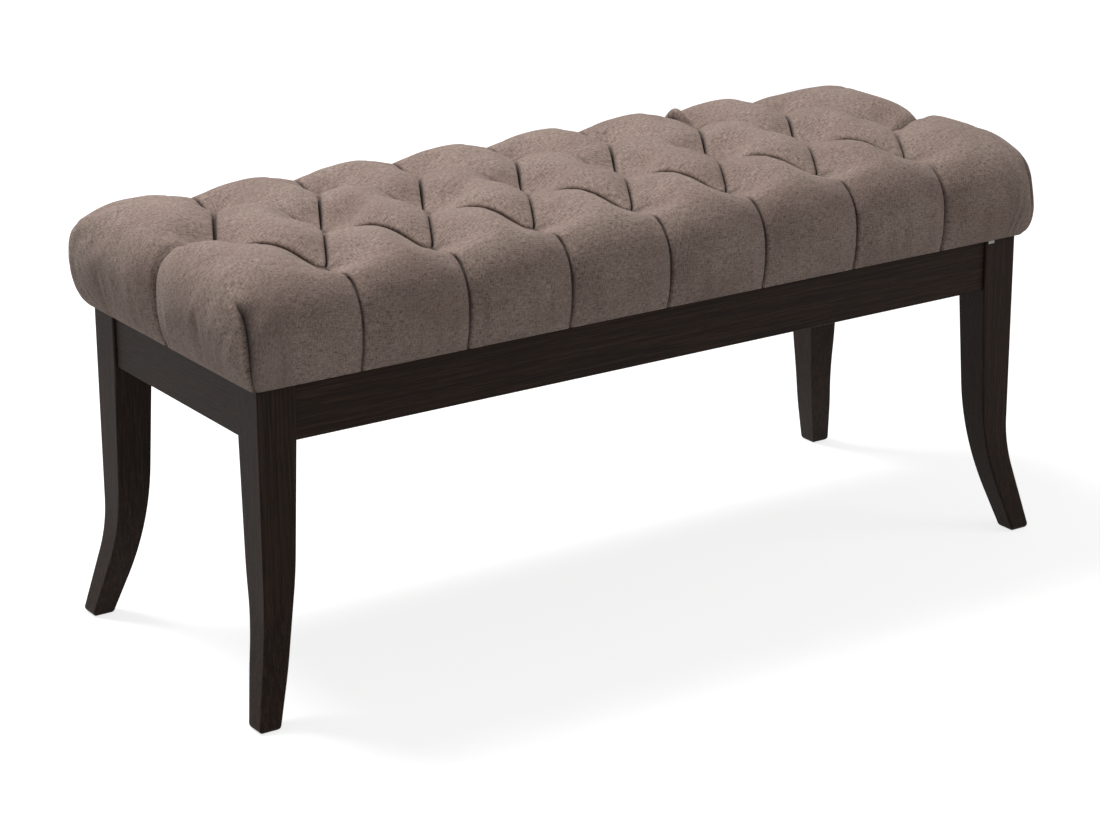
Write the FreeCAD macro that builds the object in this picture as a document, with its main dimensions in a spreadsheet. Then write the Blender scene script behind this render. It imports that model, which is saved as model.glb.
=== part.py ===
import FreeCAD
import Part
import Sketcher
import math
import os
import re
from FreeCAD import Placement, Rotation, Vector

# Upholstered bench, in millimetres.
# +X runs along the bench, the front long side faces -Y, +Z is up.
# The origin is on the floor, under the middle of the seat.

# Driving dimensions: name, value, what it is.
SIZES = [
    ("frame_length", 950, "over the outer faces of the legs, at their tops"),
    ("frame_depth", 344, "over the outer faces of the legs, at their tops"),
    ("frame_top", 345, "height of the tops of legs and aprons"),
    ("leg_width", 42, "side of the square leg"),
    ("leg_outer_start", 130, "height at which the outer face starts to curve out"),
    ("leg_outer_radius", 280, "radius of the outer face's curve"),
    ("leg_outer_lean", 12, "lean of the outer face at the foot, in degrees"),
    ("leg_inner_start", 170, "height at which the inner face starts to curve out"),
    ("leg_inner_taper", 2.3, "lean of the inner face above its curve, in degrees"),
    ("leg_inner_radius", 500, "radius of the inner face's curve"),
    ("leg_inner_lean", 17, "lean of the inner face at the foot, in degrees"),
    ("leg_edge_radius", 2, "rounding of the leg's long edges"),
    ("foot_edge_radius", 5, "rounding of the foot's bottom edges"),
    ("apron_height", 60, "height of the aprons"),
    ("apron_thickness", 20, "thickness of the aprons"),
    ("apron_setback", 3, "from the leg's outer face to the apron's"),
    ("apron_edge_radius", 1.5, "rounding of the aprons' bottom edges"),
    ("block_thickness", 25, "thickness of the corner blocks"),
    ("block_height", 54, "height of the corner blocks"),
    ("block_leg_gap", 4, "gap between corner block and leg, which the bolt pulls up"),
    ("rail_width", 22, "width of the center rail"),
    ("rail_height", 40, "height of the center rail"),
    ("dowel_radius", 4, "radius of the dowels"),
    ("dowel_length", 36, "length of the dowels"),
    ("dowel_spacing", 30, "between the two dowels of a joint"),
    ("rail_dowel_spacing", 20, "between the two dowels of a center rail joint"),
    ("rail_dowel_depth", 12, "depth of the rail's dowels in the long aprons"),
    ("screw_radius", 2, "radius of a screw's shank"),
    ("screw_head_radius", 4, "radius of a screw's head"),
    ("screw_head_height", 2.5, "height of a screw's countersunk head"),
    ("block_screw_length", 30, "length of the screws from block to apron"),
    ("block_screw_grip", 14, "depth of those screws in the apron"),
    ("seat_screw_length", 40, "length of the screws that hold the seat"),
    ("seat_screw_grip", 12, "depth of those screws in the board"),
    ("rail_screw_offset", 70, "of the seat screws in the center rail, from its middle"),
    ("bolt_radius", 4, "radius of the leg bolts"),
    ("bolt_length", 70, "length of the leg bolts"),
    ("bolt_grip", 30, "depth of the leg bolts in the leg"),
    ("washer_radius", 8.5, "radius of the bolt washers"),
    ("washer_thickness", 1.6, "thickness of the bolt washers"),
    ("nut_width", 13, "width of the bolt nuts across flats"),
    ("nut_height", 6.5, "height of the bolt nuts"),
    ("hole_clearance", 0.1, "radial clearance of holes round dowels, screws and bolts"),
    ("drill_overrun", 1, "extra depth of a drilled hole"),
    ("recess_depth", 40, "length of the recess drilled for a screw's head"),
    ("board_thickness", 15, "thickness of the plywood seat board"),
    ("board_inset", 1, "from the frame's outline to the board's edge"),
    ("board_corner_radius", 12, "radius of the board's corners"),
    ("foam_thickness", 52, "thickness of the foam"),
    ("foam_edge_radius", 14, "rounding of the foam's upper edges"),
    ("hem_thickness", 1.2, "thickness of the cover's hem under the board"),
    ("hem_width", 42, "width of the hem under the board"),
    ("fabric_thickness", 1.6, "thickness of the cover"),
    ("cover_overhang", 8, "of the cushion's bottom edge past the legs"),
    ("side_bulge", 12, "of the cushion's long sides past their bottom edge"),
    ("end_bulge", 17, "of the cushion's ends past their bottom edge"),
    ("bulge_height", 48, "from the bottom of the cushion to the widest line of its long sides"),
    ("end_bulge_height", 62, "from the bottom of the cushion to the widest line of its ends"),
    ("corner_draw", 5, "how far the corners are drawn in from the puffs' widest line"),
    ("end_narrowing", 45, "how much narrower than its corners each end is at its furthest reach"),
    ("end_roundness", 54, "how far from the end the top starts to round down"),
    ("end_squareness", 2.4, "of the ends, seen from the front: 2 is an ellipse, more is squarer"),
    ("hem_corner_radius", 6, "of the cushion's bottom edge, seen from above"),
    ("shoulder_radius", 36, "of the cushion's upper edges"),
    ("crest_height", 115, "of the puffs above the bottom of the cushion"),
    ("tuft_height", 87, "of the tufts above the bottom of the cushion"),
    ("pleat_rise", 17, "of the folds between two tufts above the tufts"),
    ("pleat_crest_drop", 21, "of the crest where a side pleat crosses it"),
    ("pleat_side_depth", 7.5, "of the side pleats"),
    ("end_pleat_height", 100, "of the end pleats above the bottom of the cushion"),
    ("end_pleat_run", 30, "from the last tuft to where an end pleat has its full height"),
    ("tuft_pitch", 121, "between the tufts of a row"),
    ("tuft_side_margin", 64, "from the cushion's bottom edge to the outer rows of tufts"),
    ("tuft_end_margin", 50, "least distance from the cushion's end, at its bottom, to the last tuft"),
    ("fold_gap", 4, "width of the form's floor at a tuft of the middle row"),
    ("twine_radius", 1, "radius of the tuft twines"),
    ("anchor_radius", 8, "radius of the discs that hold the twines"),
    ("anchor_thickness", 1.1, "thickness of those discs"),
    ("staple_width", 10, "length of a staple's crown"),
    ("staple_wire", 0.6, "thickness of the staple wire"),
    ("staple_leg", 8, "length of a staple's legs"),
    ("staple_pitch", 60, "between the hem staples"),
    ("staple_inset", 5, "from the aprons' inner faces to the staples"),
    ("dust_thickness", 0.5, "thickness of the dust cover"),
    ("dust_gap", 3, "between the dust cover and the aprons"),
    ("tag_inset", 38, "from the end of the frame to the middle of the seam tag"),
    ("tag_width", 8, "width of the seam tag"),
    ("tag_drop", 5, "how far the seam tag shows below the cushion"),
    ("tag_thickness", 0.6, "thickness of the seam tag"),
]

ORIGIN = Vector(0, 0, 0)
X_AXIS = Vector(1, 0, 0)
Y_AXIS = Vector(0, 1, 0)
Z_AXIS = Vector(0, 0, 1)
NO_TURN = Rotation()
ALONG_X = Rotation(Y_AXIS, 90)
ALONG_Y = Rotation(X_AXIS, -90)

doc = FreeCAD.newDocument("upholstered_bench")
sheet = doc.addObject("Spreadsheet::Sheet", "Sizes")
for row, (name, value, note) in enumerate(SIZES, start=1):
    sheet.set(f"A{row}", name)
    sheet.set(f"B{row}", str(value))
    sheet.setAlias(f"B{row}", name)
    sheet.set(f"C{row}", note)
doc.recompute()
size = {name: float(sheet.get(name)) for name, value, note in SIZES}


def from_sheet(formula):
    """Turn the size names of a formula into references to the sheet."""
    def reference(word):
        return "Sizes." + word[0] if word[0] in size else word[0]
    return re.sub("[a-z_]+", reference, str(formula))


def bind(thing, **formulas):
    """Bind properties of an object to formulas of size names."""
    for name, formula in formulas.items():
        thing.setExpression(name, from_sheet(formula))
    return thing


def place(thing, x=0, y=0, z=0, turn=NO_TURN):
    """Turn an object, and bind its place to three formulas."""
    thing.Placement = Placement(ORIGIN, turn)
    for letter, formula in (("x", x), ("y", y), ("z", z)):
        thing.setExpression("Placement.Base." + letter, from_sheet(formula))
    return thing


def add(kind, name, **formulas):
    """Add an object, with properties bound to formulas."""
    return bind(doc.addObject(kind, name), **formulas)


def box(name, length, width, height, x, y, z):
    """A box centred on x and y, with its bottom at z."""
    thing = add("Part::Box", name, Length=length, Width=width, Height=height)
    return place(thing, f"{x} - ({length}) / 2", f"{y} - ({width}) / 2", z)


def group(name, members):
    """Several solids as one object."""
    thing = doc.addObject("Part::Compound", name)
    thing.Links = members
    return thing


def cut(name, base, tool):
    """Base less tool."""
    thing = doc.addObject("Part::Cut", name)
    thing.Base = base
    thing.Tool = tool
    return thing


def fuse(name, members):
    """All members as one solid."""
    thing = doc.addObject("Part::MultiFuse", name)
    thing.Shapes = members
    return thing


def rounded(name, base, radius, chosen):
    """Round the edges of base for which chosen(edge) is true."""
    doc.recompute()
    thing = doc.addObject("Part::Fillet", name)
    thing.Base = base
    numbers = [number for number, edge in enumerate(base.Shape.Edges, start=1) if chosen(edge)]
    thing.Edges = [(number, radius, radius) for number in numbers]
    return thing


def placed_copies(name, master, sites):
    """One link to master at each site, as one object."""
    links = []
    for number, (x, y, z, turn) in enumerate(sites, start=1):
        link = doc.addObject("App::Link", f"{name}_{number}")
        link.LinkedObject = master
        link.LinkTransform = True
        links.append(place(link, x, y, z, turn))
    return group(name, links)


def is_upright(edge):
    """True for an edge that runs straight up."""
    return edge.Length > 1 and abs(edge.tangentAt(edge.FirstParameter).z) > 0.999


# The four corners, counted anticlockwise from the front left one.
# Each has its name, the sides that it is on, and the turn from the front left corner.
CORNERS = [
    ("front_left", -1, -1, 0),
    ("front_right", 1, -1, 90),
    ("rear_right", 1, 1, 180),
    ("rear_left", -1, 1, 270),
]
# Each apron has its name, the sides that it is on, and the turn from the front one.
APRONS = [
    ("front_apron", 0, -1, 0),
    ("right_apron", 1, 0, 90),
    ("rear_apron", 0, 1, 180),
    ("left_apron", -1, 0, 270),
]
APRON_FACE = "(apron_setback + apron_thickness)"
APRON_MIDDLE = "(apron_setback + apron_thickness / 2)"
DOWEL_LEVEL = "(frame_top - apron_height / 2)"
SEAT_BASE = "(frame_top + hem_thickness)"
SUPPORT_TOP = "(frame_top - dust_thickness)"
RAIL_LEVEL = f"({SUPPORT_TOP} - rail_height / 2)"
TUFT_ROW = "(frame_depth / 2 + cover_overhang - tuft_side_margin)"
# An outer row has this many tufts, and the middle row has one more.
TUFT_ROOM = size["frame_length"] + 2 * (size["cover_overhang"] - size["tuft_end_margin"])
TUFT_COUNT = int(TUFT_ROOM / size["tuft_pitch"])
# A corner block lies across the corner between two aprons. These are the distances, along an
# apron, from that corner to the block's near and far faces.
BLOCK_NEAR = f"(2 * (leg_width - {APRON_FACE}) + block_leg_gap * sqrt(2))"
BLOCK_FAR = f"({BLOCK_NEAR} + block_thickness * sqrt(2))"


def corner_point(along_x, along_y, sides):
    """Formulas for a point at given distances in from the legs' outer faces at one corner."""
    name, side_x, side_y, turn = sides
    if turn in (90, 270):
        along_x, along_y = along_y, along_x
    x = f"{side_x} * (frame_length / 2 - ({along_x}))"
    y = f"{side_y} * (frame_depth / 2 - ({along_y}))"
    return x, y


# Fasteners. Each is drawn once, along its own axis, with a drill of the same shape and a clearance.
def screw(name, length, clearance):
    """A countersunk screw that points up, with its tip at the origin."""
    shank = add("Part::Cylinder", name + "_shank", Radius=f"screw_radius + {clearance}", Height=length)
    head = add("Part::Cone", name + "_head", Radius1=f"screw_head_radius + {clearance}",
               Radius2=f"screw_radius + {clearance}", Height="screw_head_height")
    return shank, place(head)


def screw_body(name, length):
    """The screw itself: its head is at the origin, and its tip points up."""
    return fuse(name, screw(name, length, "0"))


def screw_drill(name, length):
    """The hole for it, with the recess that lets the head in from below."""
    shank, head = screw(name, f"{length} + drill_overrun", "hole_clearance")
    recess = add("Part::Cylinder", name + "_recess", Radius="screw_head_radius + 2 * hole_clearance",
                 Height="recess_depth")
    place(recess, z="-recess_depth")
    return fuse(name, [shank, head, recess])


def dowel_sites():
    """Middle of each dowel, and the way that it runs."""
    sites = []
    for corner in CORNERS:
        for level in ("+", "-"):
            z = f"{DOWEL_LEVEL} {level} dowel_spacing / 2"
            name, side_x, side_y, turn = corner
            x = f"{side_x} * (frame_length / 2 - leg_width)"
            y = f"{side_y} * (frame_depth / 2 - {APRON_MIDDLE})"
            sites.append((x, y, z, ALONG_X))
            x = f"{side_x} * (frame_length / 2 - {APRON_MIDDLE})"
            y = f"{side_y} * (frame_depth / 2 - leg_width)"
            sites.append((x, y, z, ALONG_Y))
    for side in (-1, 1):
        for level in ("+", "-"):
            y = f"{side} * (frame_depth / 2 - {APRON_FACE} + rail_dowel_depth - dowel_length / 2)"
            sites.append(("0", y, f"{RAIL_LEVEL} {level} rail_dowel_spacing / 2", ALONG_Y))
    return sites


def block_screw_sites():
    """Head of each screw from a corner block into an apron, one in each wing of the block."""
    sites = []
    into_wing = f"{APRON_FACE} + {BLOCK_NEAR} + 2 * screw_head_radius"
    from_face = f"{APRON_FACE} + block_screw_length - block_screw_grip"
    level = f"{DOWEL_LEVEL} + dowel_spacing / 2"
    for name, side_x, side_y, turn in CORNERS:
        x = f"{side_x} * (frame_length / 2 - ({into_wing}))"
        y = f"{side_y} * (frame_depth / 2 - ({from_face}))"
        sites.append((x, y, level, Rotation(X_AXIS, -90 * side_y)))
        x = f"{side_x} * (frame_length / 2 - ({from_face}))"
        y = f"{side_y} * (frame_depth / 2 - ({into_wing}))"
        sites.append((x, y, level, Rotation(Y_AXIS, 90 * side_x)))
    return sites


def seat_screw_sites():
    """Head of each screw up into the seat board: one in each corner block, two in the center rail."""
    sites = []
    level = f"{SEAT_BASE} + seat_screw_grip - seat_screw_length"
    middle = f"{APRON_FACE} + ({BLOCK_NEAR} + {BLOCK_FAR}) / 4"
    aside = "(2 * screw_head_radius + bolt_radius / 2)"
    for corner in CORNERS:
        x, y = corner_point(f"{middle} + {aside}", f"{middle} - {aside}", corner)
        sites.append((x, y, level, NO_TURN))
    for side in (-1, 1):
        sites.append(("0", f"{side} * rail_screw_offset", level, NO_TURN))
    return sites


def bolt_sites(start):
    """A point on each leg bolt, start in from the leg's outer corner, facing in along the diagonal."""
    sites = []
    for corner in CORNERS:
        name, side_x, side_y, turn = corner
        along = f"({start}) / sqrt(2)"
        x, y = corner_point(along, along, corner)
        inwards = Rotation(Z_AXIS, 45 + turn) * ALONG_X
        sites.append((x, y, DOWEL_LEVEL, inwards))
    return sites


def tuft_sites(level):
    """Each tuft, as x, y and z formulas: the outer rows first, then the middle row."""
    sites = []
    for side in (-1, 1):
        for number in range(TUFT_COUNT):
            x = f"({number} - {TUFT_COUNT - 1} / 2) * tuft_pitch"
            sites.append((x, f"{side} * {TUFT_ROW}", level, NO_TURN))
    for number in range(TUFT_COUNT + 1):
        sites.append((f"({number} - {TUFT_COUNT} / 2) * tuft_pitch", "0", level, NO_TURN))
    return sites


dowel = add("Part::Cylinder", "dowel", Radius="dowel_radius", Height="dowel_length")
place(dowel, z="-dowel_length / 2")
dowel_drill = add("Part::Cylinder", "dowel_drill", Radius="dowel_radius + hole_clearance",
                  Height="dowel_length + 2 * drill_overrun")
place(dowel_drill, z="-dowel_length / 2 - drill_overrun")
bolt = add("Part::Cylinder", "bolt", Radius="bolt_radius", Height="bolt_length")
bolt_drill = add("Part::Cylinder", "bolt_drill", Radius="bolt_radius + hole_clearance",
                 Height="bolt_length + drill_overrun")
place(bolt_drill, z="-drill_overrun")
washer_disc = add("Part::Cylinder", "washer_disc", Radius="washer_radius", Height="washer_thickness")
nut_blank = add("Part::Prism", "nut_blank", Circumradius="nut_width / sqrt(3)", Height="nut_height")
nut_blank.Polygon = 6
washer = cut("washer", washer_disc, bolt_drill)
nut = cut("nut", nut_blank, bolt_drill)

bolt_start = "leg_width * sqrt(2) - bolt_grip"
block_inner_face = f"{APRON_FACE} * sqrt(2) + {BLOCK_FAR} / sqrt(2)"
frame_dowels = placed_copies("frame_dowels", dowel, dowel_sites())
corner_block_screws = placed_copies("corner_block_screws", screw_body("block_screw", "block_screw_length"),
                                    block_screw_sites())
seat_screws = placed_copies("seat_screws", screw_body("seat_screw", "seat_screw_length"), seat_screw_sites())
leg_hanger_bolts = placed_copies("leg_hanger_bolts", bolt, bolt_sites(bolt_start))
leg_bolt_washers = placed_copies("leg_bolt_washers", washer, bolt_sites(block_inner_face))
leg_bolt_nuts = placed_copies("leg_bolt_nuts", nut, bolt_sites(f"{block_inner_face} + washer_thickness"))

dowel_holes = placed_copies("dowel_holes", dowel_drill, dowel_sites())
block_screw_holes = placed_copies("block_screw_holes", screw_drill("block_screw_drill", "block_screw_length"),
                                  block_screw_sites())
seat_screw_drill_body = screw_drill("seat_screw_drill", "seat_screw_length")
seat_screw_holes = placed_copies("seat_screw_holes", seat_screw_drill_body, seat_screw_sites())
bolt_holes = placed_copies("bolt_holes", bolt_drill, bolt_sites(bolt_start))


# Legs. The outline of the leg, seen from the front or the side, is the same: both faces curve
# outwards. The leg is what two such outlines, pushed through each other, have in common.
def leg_outline(name, turn):
    """The outline, with the outer face at 0 and the floor at 0."""
    outline = doc.addObject("Sketcher::SketchObject", name)
    outline.Placement = Placement(ORIGIN, turn)
    width, top = size["leg_width"], size["frame_top"]
    outer_lean = math.radians(size["leg_outer_lean"])
    taper = math.radians(size["leg_inner_taper"])
    inner_lean = math.radians(size["leg_inner_lean"])
    outer_radius, inner_radius = size["leg_outer_radius"], size["leg_inner_radius"]
    outer_start, inner_start = size["leg_outer_start"], size["leg_inner_start"]
    taper_start = top - size["apron_height"]

    outer_centre = Vector(-outer_radius, outer_start)
    outer_end = outer_centre + Vector(math.cos(outer_lean), -math.sin(outer_lean)) * outer_radius
    outer_foot = Vector(outer_end.x - outer_end.y * math.tan(outer_lean), 0)
    inner_begin = Vector(width - (taper_start - inner_start) * math.tan(taper), inner_start)
    inner_centre = inner_begin - Vector(math.cos(taper), -math.sin(taper)) * inner_radius
    inner_end = inner_centre + Vector(math.cos(inner_lean), -math.sin(inner_lean)) * inner_radius
    inner_foot = Vector(inner_end.x - inner_end.y * math.tan(inner_lean), 0)

    def line(start, end):
        return outline.addGeometry(Part.LineSegment(start, end), False)

    def arc(centre, radius, first, last):
        circle = Part.Circle(centre, Z_AXIS, radius)
        return outline.addGeometry(Part.ArcOfCircle(circle, first, last), False)

    outer = line(Vector(0, top), Vector(0, outer_start))
    outer_curve = arc(outer_centre, outer_radius, -outer_lean, 0)
    outer_low = line(outer_foot, outer_end)
    sole = line(outer_foot, inner_foot)
    inner_low = line(inner_foot, inner_end)
    inner_curve = arc(inner_centre, inner_radius, -inner_lean, -taper)
    inner_high = line(inner_begin, Vector(width, taper_start))
    inner = line(Vector(width, taper_start), Vector(width, top))
    cap = line(Vector(width, top), Vector(0, top))
    start, end, axis, across, up, root = 1, 2, -1, -1, -2, 1

    rules = [
        ("Tangent", outer, end, outer_curve, end),
        ("Tangent", outer_curve, start, outer_low, end),
        ("Coincident", outer_low, start, sole, start),
        ("Coincident", sole, end, inner_low, start),
        ("Tangent", inner_low, end, inner_curve, start),
        ("Tangent", inner_curve, end, inner_high, start),
        ("Coincident", inner_high, end, inner, start),
        ("Coincident", inner, end, cap, start),
        ("Coincident", cap, end, outer, start),
        ("PointOnObject", outer, start, up),
        ("PointOnObject", outer, end, up),
        ("Horizontal", cap),
        ("Vertical", inner),
        ("PointOnObject", sole, start, across),
        ("PointOnObject", sole, end, across),
    ]
    for rule in rules:
        outline.addConstraint(Sketcher.Constraint(*rule))

    measures = [
        ("DistanceX", (cap, end, cap, start), "leg_width"),
        ("DistanceY", (axis, root, outer, start), "frame_top"),
        ("DistanceY", (axis, root, outer, end), "leg_outer_start"),
        ("Radius", (outer_curve,), "leg_outer_radius"),
        ("Radius", (inner_curve,), "leg_inner_radius"),
        ("DistanceY", (inner, start, inner, end), "apron_height"),
        ("DistanceY", (axis, root, inner_high, start), "leg_inner_start"),
    ]
    for number, (kind, places, formula) in enumerate(measures):
        outline.addConstraint(Sketcher.Constraint(kind, *places, size[formula]))
        measure = f"measure_{number}"
        outline.renameConstraint(outline.ConstraintCount - 1, measure)
        outline.setExpression("Constraints." + measure, from_sheet(formula))
    leans = [(outer_low, "leg_outer_lean"), (inner_low, "leg_inner_lean"), (inner_high, "leg_inner_taper")]
    for geometry, formula in leans:
        outline.addConstraint(Sketcher.Constraint("Angle", geometry, math.radians(90 - size[formula])))
        outline.renameConstraint(outline.ConstraintCount - 1, formula)
        outline.setExpression("Constraints." + formula, f"(90 - {from_sheet(formula)}) * 1 deg")
    return outline


def leg(sides):
    """One leg, drawn at the front left corner and turned into its own."""
    corner, side_x, side_y, turn = sides
    seen_from_front = Rotation(X_AXIS, 90)
    seen_from_side = Rotation(Z_AXIS, 90) * seen_from_front
    foot_radius = size["foot_edge_radius"]
    slabs = []
    for view, way in (("front", seen_from_front), ("side", seen_from_side)):
        slab = add("Part::Extrusion", f"{corner}_leg_{view}", LengthFwd="4 * leg_width")
        slab.Base = leg_outline(f"{corner}_leg_{view}_outline", way)
        slab.DirMode = "Normal"
        slab.Symmetric = True
        slab.Solid = True
        slabs.append(rounded(f"{slab.Name}_soled", slab, foot_radius, is_on_floor))
    blank = doc.addObject("Part::Common", f"{corner}_leg_blank")
    blank.Base, blank.Tool = slabs

    def is_eased(edge):
        """True for the long edges, but for the one in the corner of the frame, which stays sharp."""
        extent = edge.BoundBox
        middle = edge.valueAt((edge.FirstParameter + edge.LastParameter) / 2)
        is_long = extent.ZLength > max(extent.XLength, extent.YLength) and extent.ZMax > 2 * foot_radius
        is_hidden = abs(middle.x - middle.y) < 0.01 and middle.x > 0.01
        return is_long and not is_hidden

    eased = rounded(f"{corner}_leg_eased", blank, size["leg_edge_radius"], is_eased)
    standing = group(f"{corner}_leg_standing", [eased])
    place(standing, f"{side_x} * frame_length / 2", f"{side_y} * frame_depth / 2", 0, Rotation(Z_AXIS, turn))
    return cut(f"{corner}_leg", standing, leg_holes)


def plate(name, length, width, height, edges_to_round=None, radius="0"):
    """A rectangular piece centred on the origin, with its bottom at 0 and some edges rounded."""
    body = doc.addObject("PartDesign::Body", name + "_body")
    outline = body.newObject("Sketcher::SketchObject", name + "_outline")
    floor = next(plane for plane in body.Origin.OriginFeatures if plane.Role == "XY_Plane")
    outline.AttachmentSupport = [(floor, "")]
    outline.MapMode = "FlatFace"
    corners = [Vector(-1, -1, 0), Vector(1, -1, 0), Vector(1, 1, 0), Vector(-1, 1, 0)]
    for start, end in zip(corners, corners[1:] + corners[:1]):
        outline.addGeometry(Part.LineSegment(start, end), False)
    for side in range(4):
        outline.addConstraint(Sketcher.Constraint("Coincident", side, 2, (side + 1) % 4, 1))
        outline.addConstraint(Sketcher.Constraint("Horizontal" if side % 2 == 0 else "Vertical", side))
    outline.addConstraint(Sketcher.Constraint("Symmetric", 0, 1, 2, 1, -1, 1))
    for measure, side, formula in (("length", 0, length), ("width", 1, width)):
        kind = "DistanceX" if side == 0 else "DistanceY"
        outline.addConstraint(Sketcher.Constraint(kind, side, 1, side, 2, 2))
        outline.renameConstraint(outline.ConstraintCount - 1, measure)
        outline.setExpression("Constraints." + measure, from_sheet(formula))
    pad = body.newObject("PartDesign::Pad", name + "_pad")
    pad.Profile = outline
    bind(pad, Length=height)
    if edges_to_round:
        doc.recompute()
        rounding = body.newObject("PartDesign::Fillet", name + "_rounding")
        numbered = enumerate(pad.Shape.Edges, start=1)
        rounding.Base = (pad, [f"Edge{number}" for number, edge in numbered if edges_to_round(edge)])
        bind(rounding, Radius=radius)
    return body


def apron(name, side_x, side_y, turn):
    """One apron, drawn with its outer face towards -Y and turned to its side of the frame."""
    span = "frame_length - 2 * leg_width" if side_x == 0 else "frame_depth - 2 * leg_width"
    blank = plate(name, span, "apron_thickness", "apron_height", is_low_and_long, "apron_edge_radius")
    x = f"{side_x} * (frame_length / 2 - {APRON_MIDDLE})"
    y = f"{side_y} * (frame_depth / 2 - {APRON_MIDDLE})"
    place(blank, x, y, "frame_top - apron_height", Rotation(Z_AXIS, turn))
    return cut(name, blank, apron_holes)


def corner_block(sides):
    """A bar across the corner of the frame, with its ends cut to lie flat on both aprons."""
    corner, side_x, side_y, turn = sides
    name = f"corner_block_{corner}"
    body = doc.addObject("PartDesign::Body", name + "_body")
    outline = body.newObject("Sketcher::SketchObject", name + "_outline")
    floor = next(plane for plane in body.Origin.OriginFeatures if plane.Role == "XY_Plane")
    outline.AttachmentSupport = [(floor, "")]
    outline.MapMode = "FlatFace"
    corners = [Vector(1, 0, 0), Vector(2, 0, 0), Vector(0, 2, 0), Vector(0, 1, 0)]
    for start, end in zip(corners, corners[1:] + corners[:1]):
        outline.addGeometry(Part.LineSegment(start, end), False)
    for side in range(4):
        outline.addConstraint(Sketcher.Constraint("Coincident", side, 2, (side + 1) % 4, 1))
    across, up, root = -1, -2, 1
    for side, point, axis in ((0, 1, across), (0, 2, across), (2, 1, up), (2, 2, up)):
        outline.addConstraint(Sketcher.Constraint("PointOnObject", side, point, axis))
    measures = [
        ("DistanceX", 0, 1, BLOCK_NEAR),
        ("DistanceX", 0, 2, BLOCK_FAR),
        ("DistanceY", 2, 1, BLOCK_FAR),
        ("DistanceY", 2, 2, BLOCK_NEAR),
    ]
    for number, (kind, side, point, formula) in enumerate(measures):
        outline.addConstraint(Sketcher.Constraint(kind, across, root, side, point, 1 + number % 2))
        outline.renameConstraint(outline.ConstraintCount - 1, f"reach_{number}")
        outline.setExpression(f"Constraints.reach_{number}", from_sheet(formula))
    pad = body.newObject("PartDesign::Pad", name + "_pad")
    pad.Profile = outline
    bind(pad, Length="block_height")
    x, y = f"{side_x} * (frame_length / 2 - {APRON_FACE})", f"{side_y} * (frame_depth / 2 - {APRON_FACE})"
    place(body, x, y, f"{SUPPORT_TOP} - block_height", Rotation(Z_AXIS, turn))
    return cut(name, body, block_holes)


def is_on_floor(edge):
    """True for an edge that lies on the floor and runs right across."""
    return edge.BoundBox.ZMax < 0.01 and edge.Length > 2 * size["leg_width"]


def is_low_and_long(edge):
    """True for the two long edges at the bottom of a plate."""
    return edge.BoundBox.ZMax < 0.01 and edge.BoundBox.XLength > edge.BoundBox.YLength


def is_foam_top(edge):
    """True for an edge round the foam's upper face."""
    foam_top = size["frame_top"] + size["hem_thickness"] + size["board_thickness"] + size["foam_thickness"]
    return edge.BoundBox.ZMin > foam_top - 0.01


leg_holes = fuse("leg_holes", [dowel_holes, bolt_holes])
apron_holes = fuse("apron_holes", [dowel_holes, block_screw_holes])
block_holes = fuse("block_holes", [block_screw_holes, seat_screw_holes, bolt_holes])
rail_holes = fuse("rail_holes", [dowel_holes, seat_screw_holes])

for corner in CORNERS:
    leg(corner)
    corner_block(corner)
for apron_row in APRONS:
    apron(*apron_row)

# The rail keeps the long board from sagging. It meets the dust cover from below.
rail_blank = plate("center_rail", "rail_width", f"frame_depth - 2 * {APRON_FACE}", "rail_height")
place(rail_blank, z=f"{SUPPORT_TOP} - rail_height")
cut("center_rail", rail_blank, rail_holes)


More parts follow.
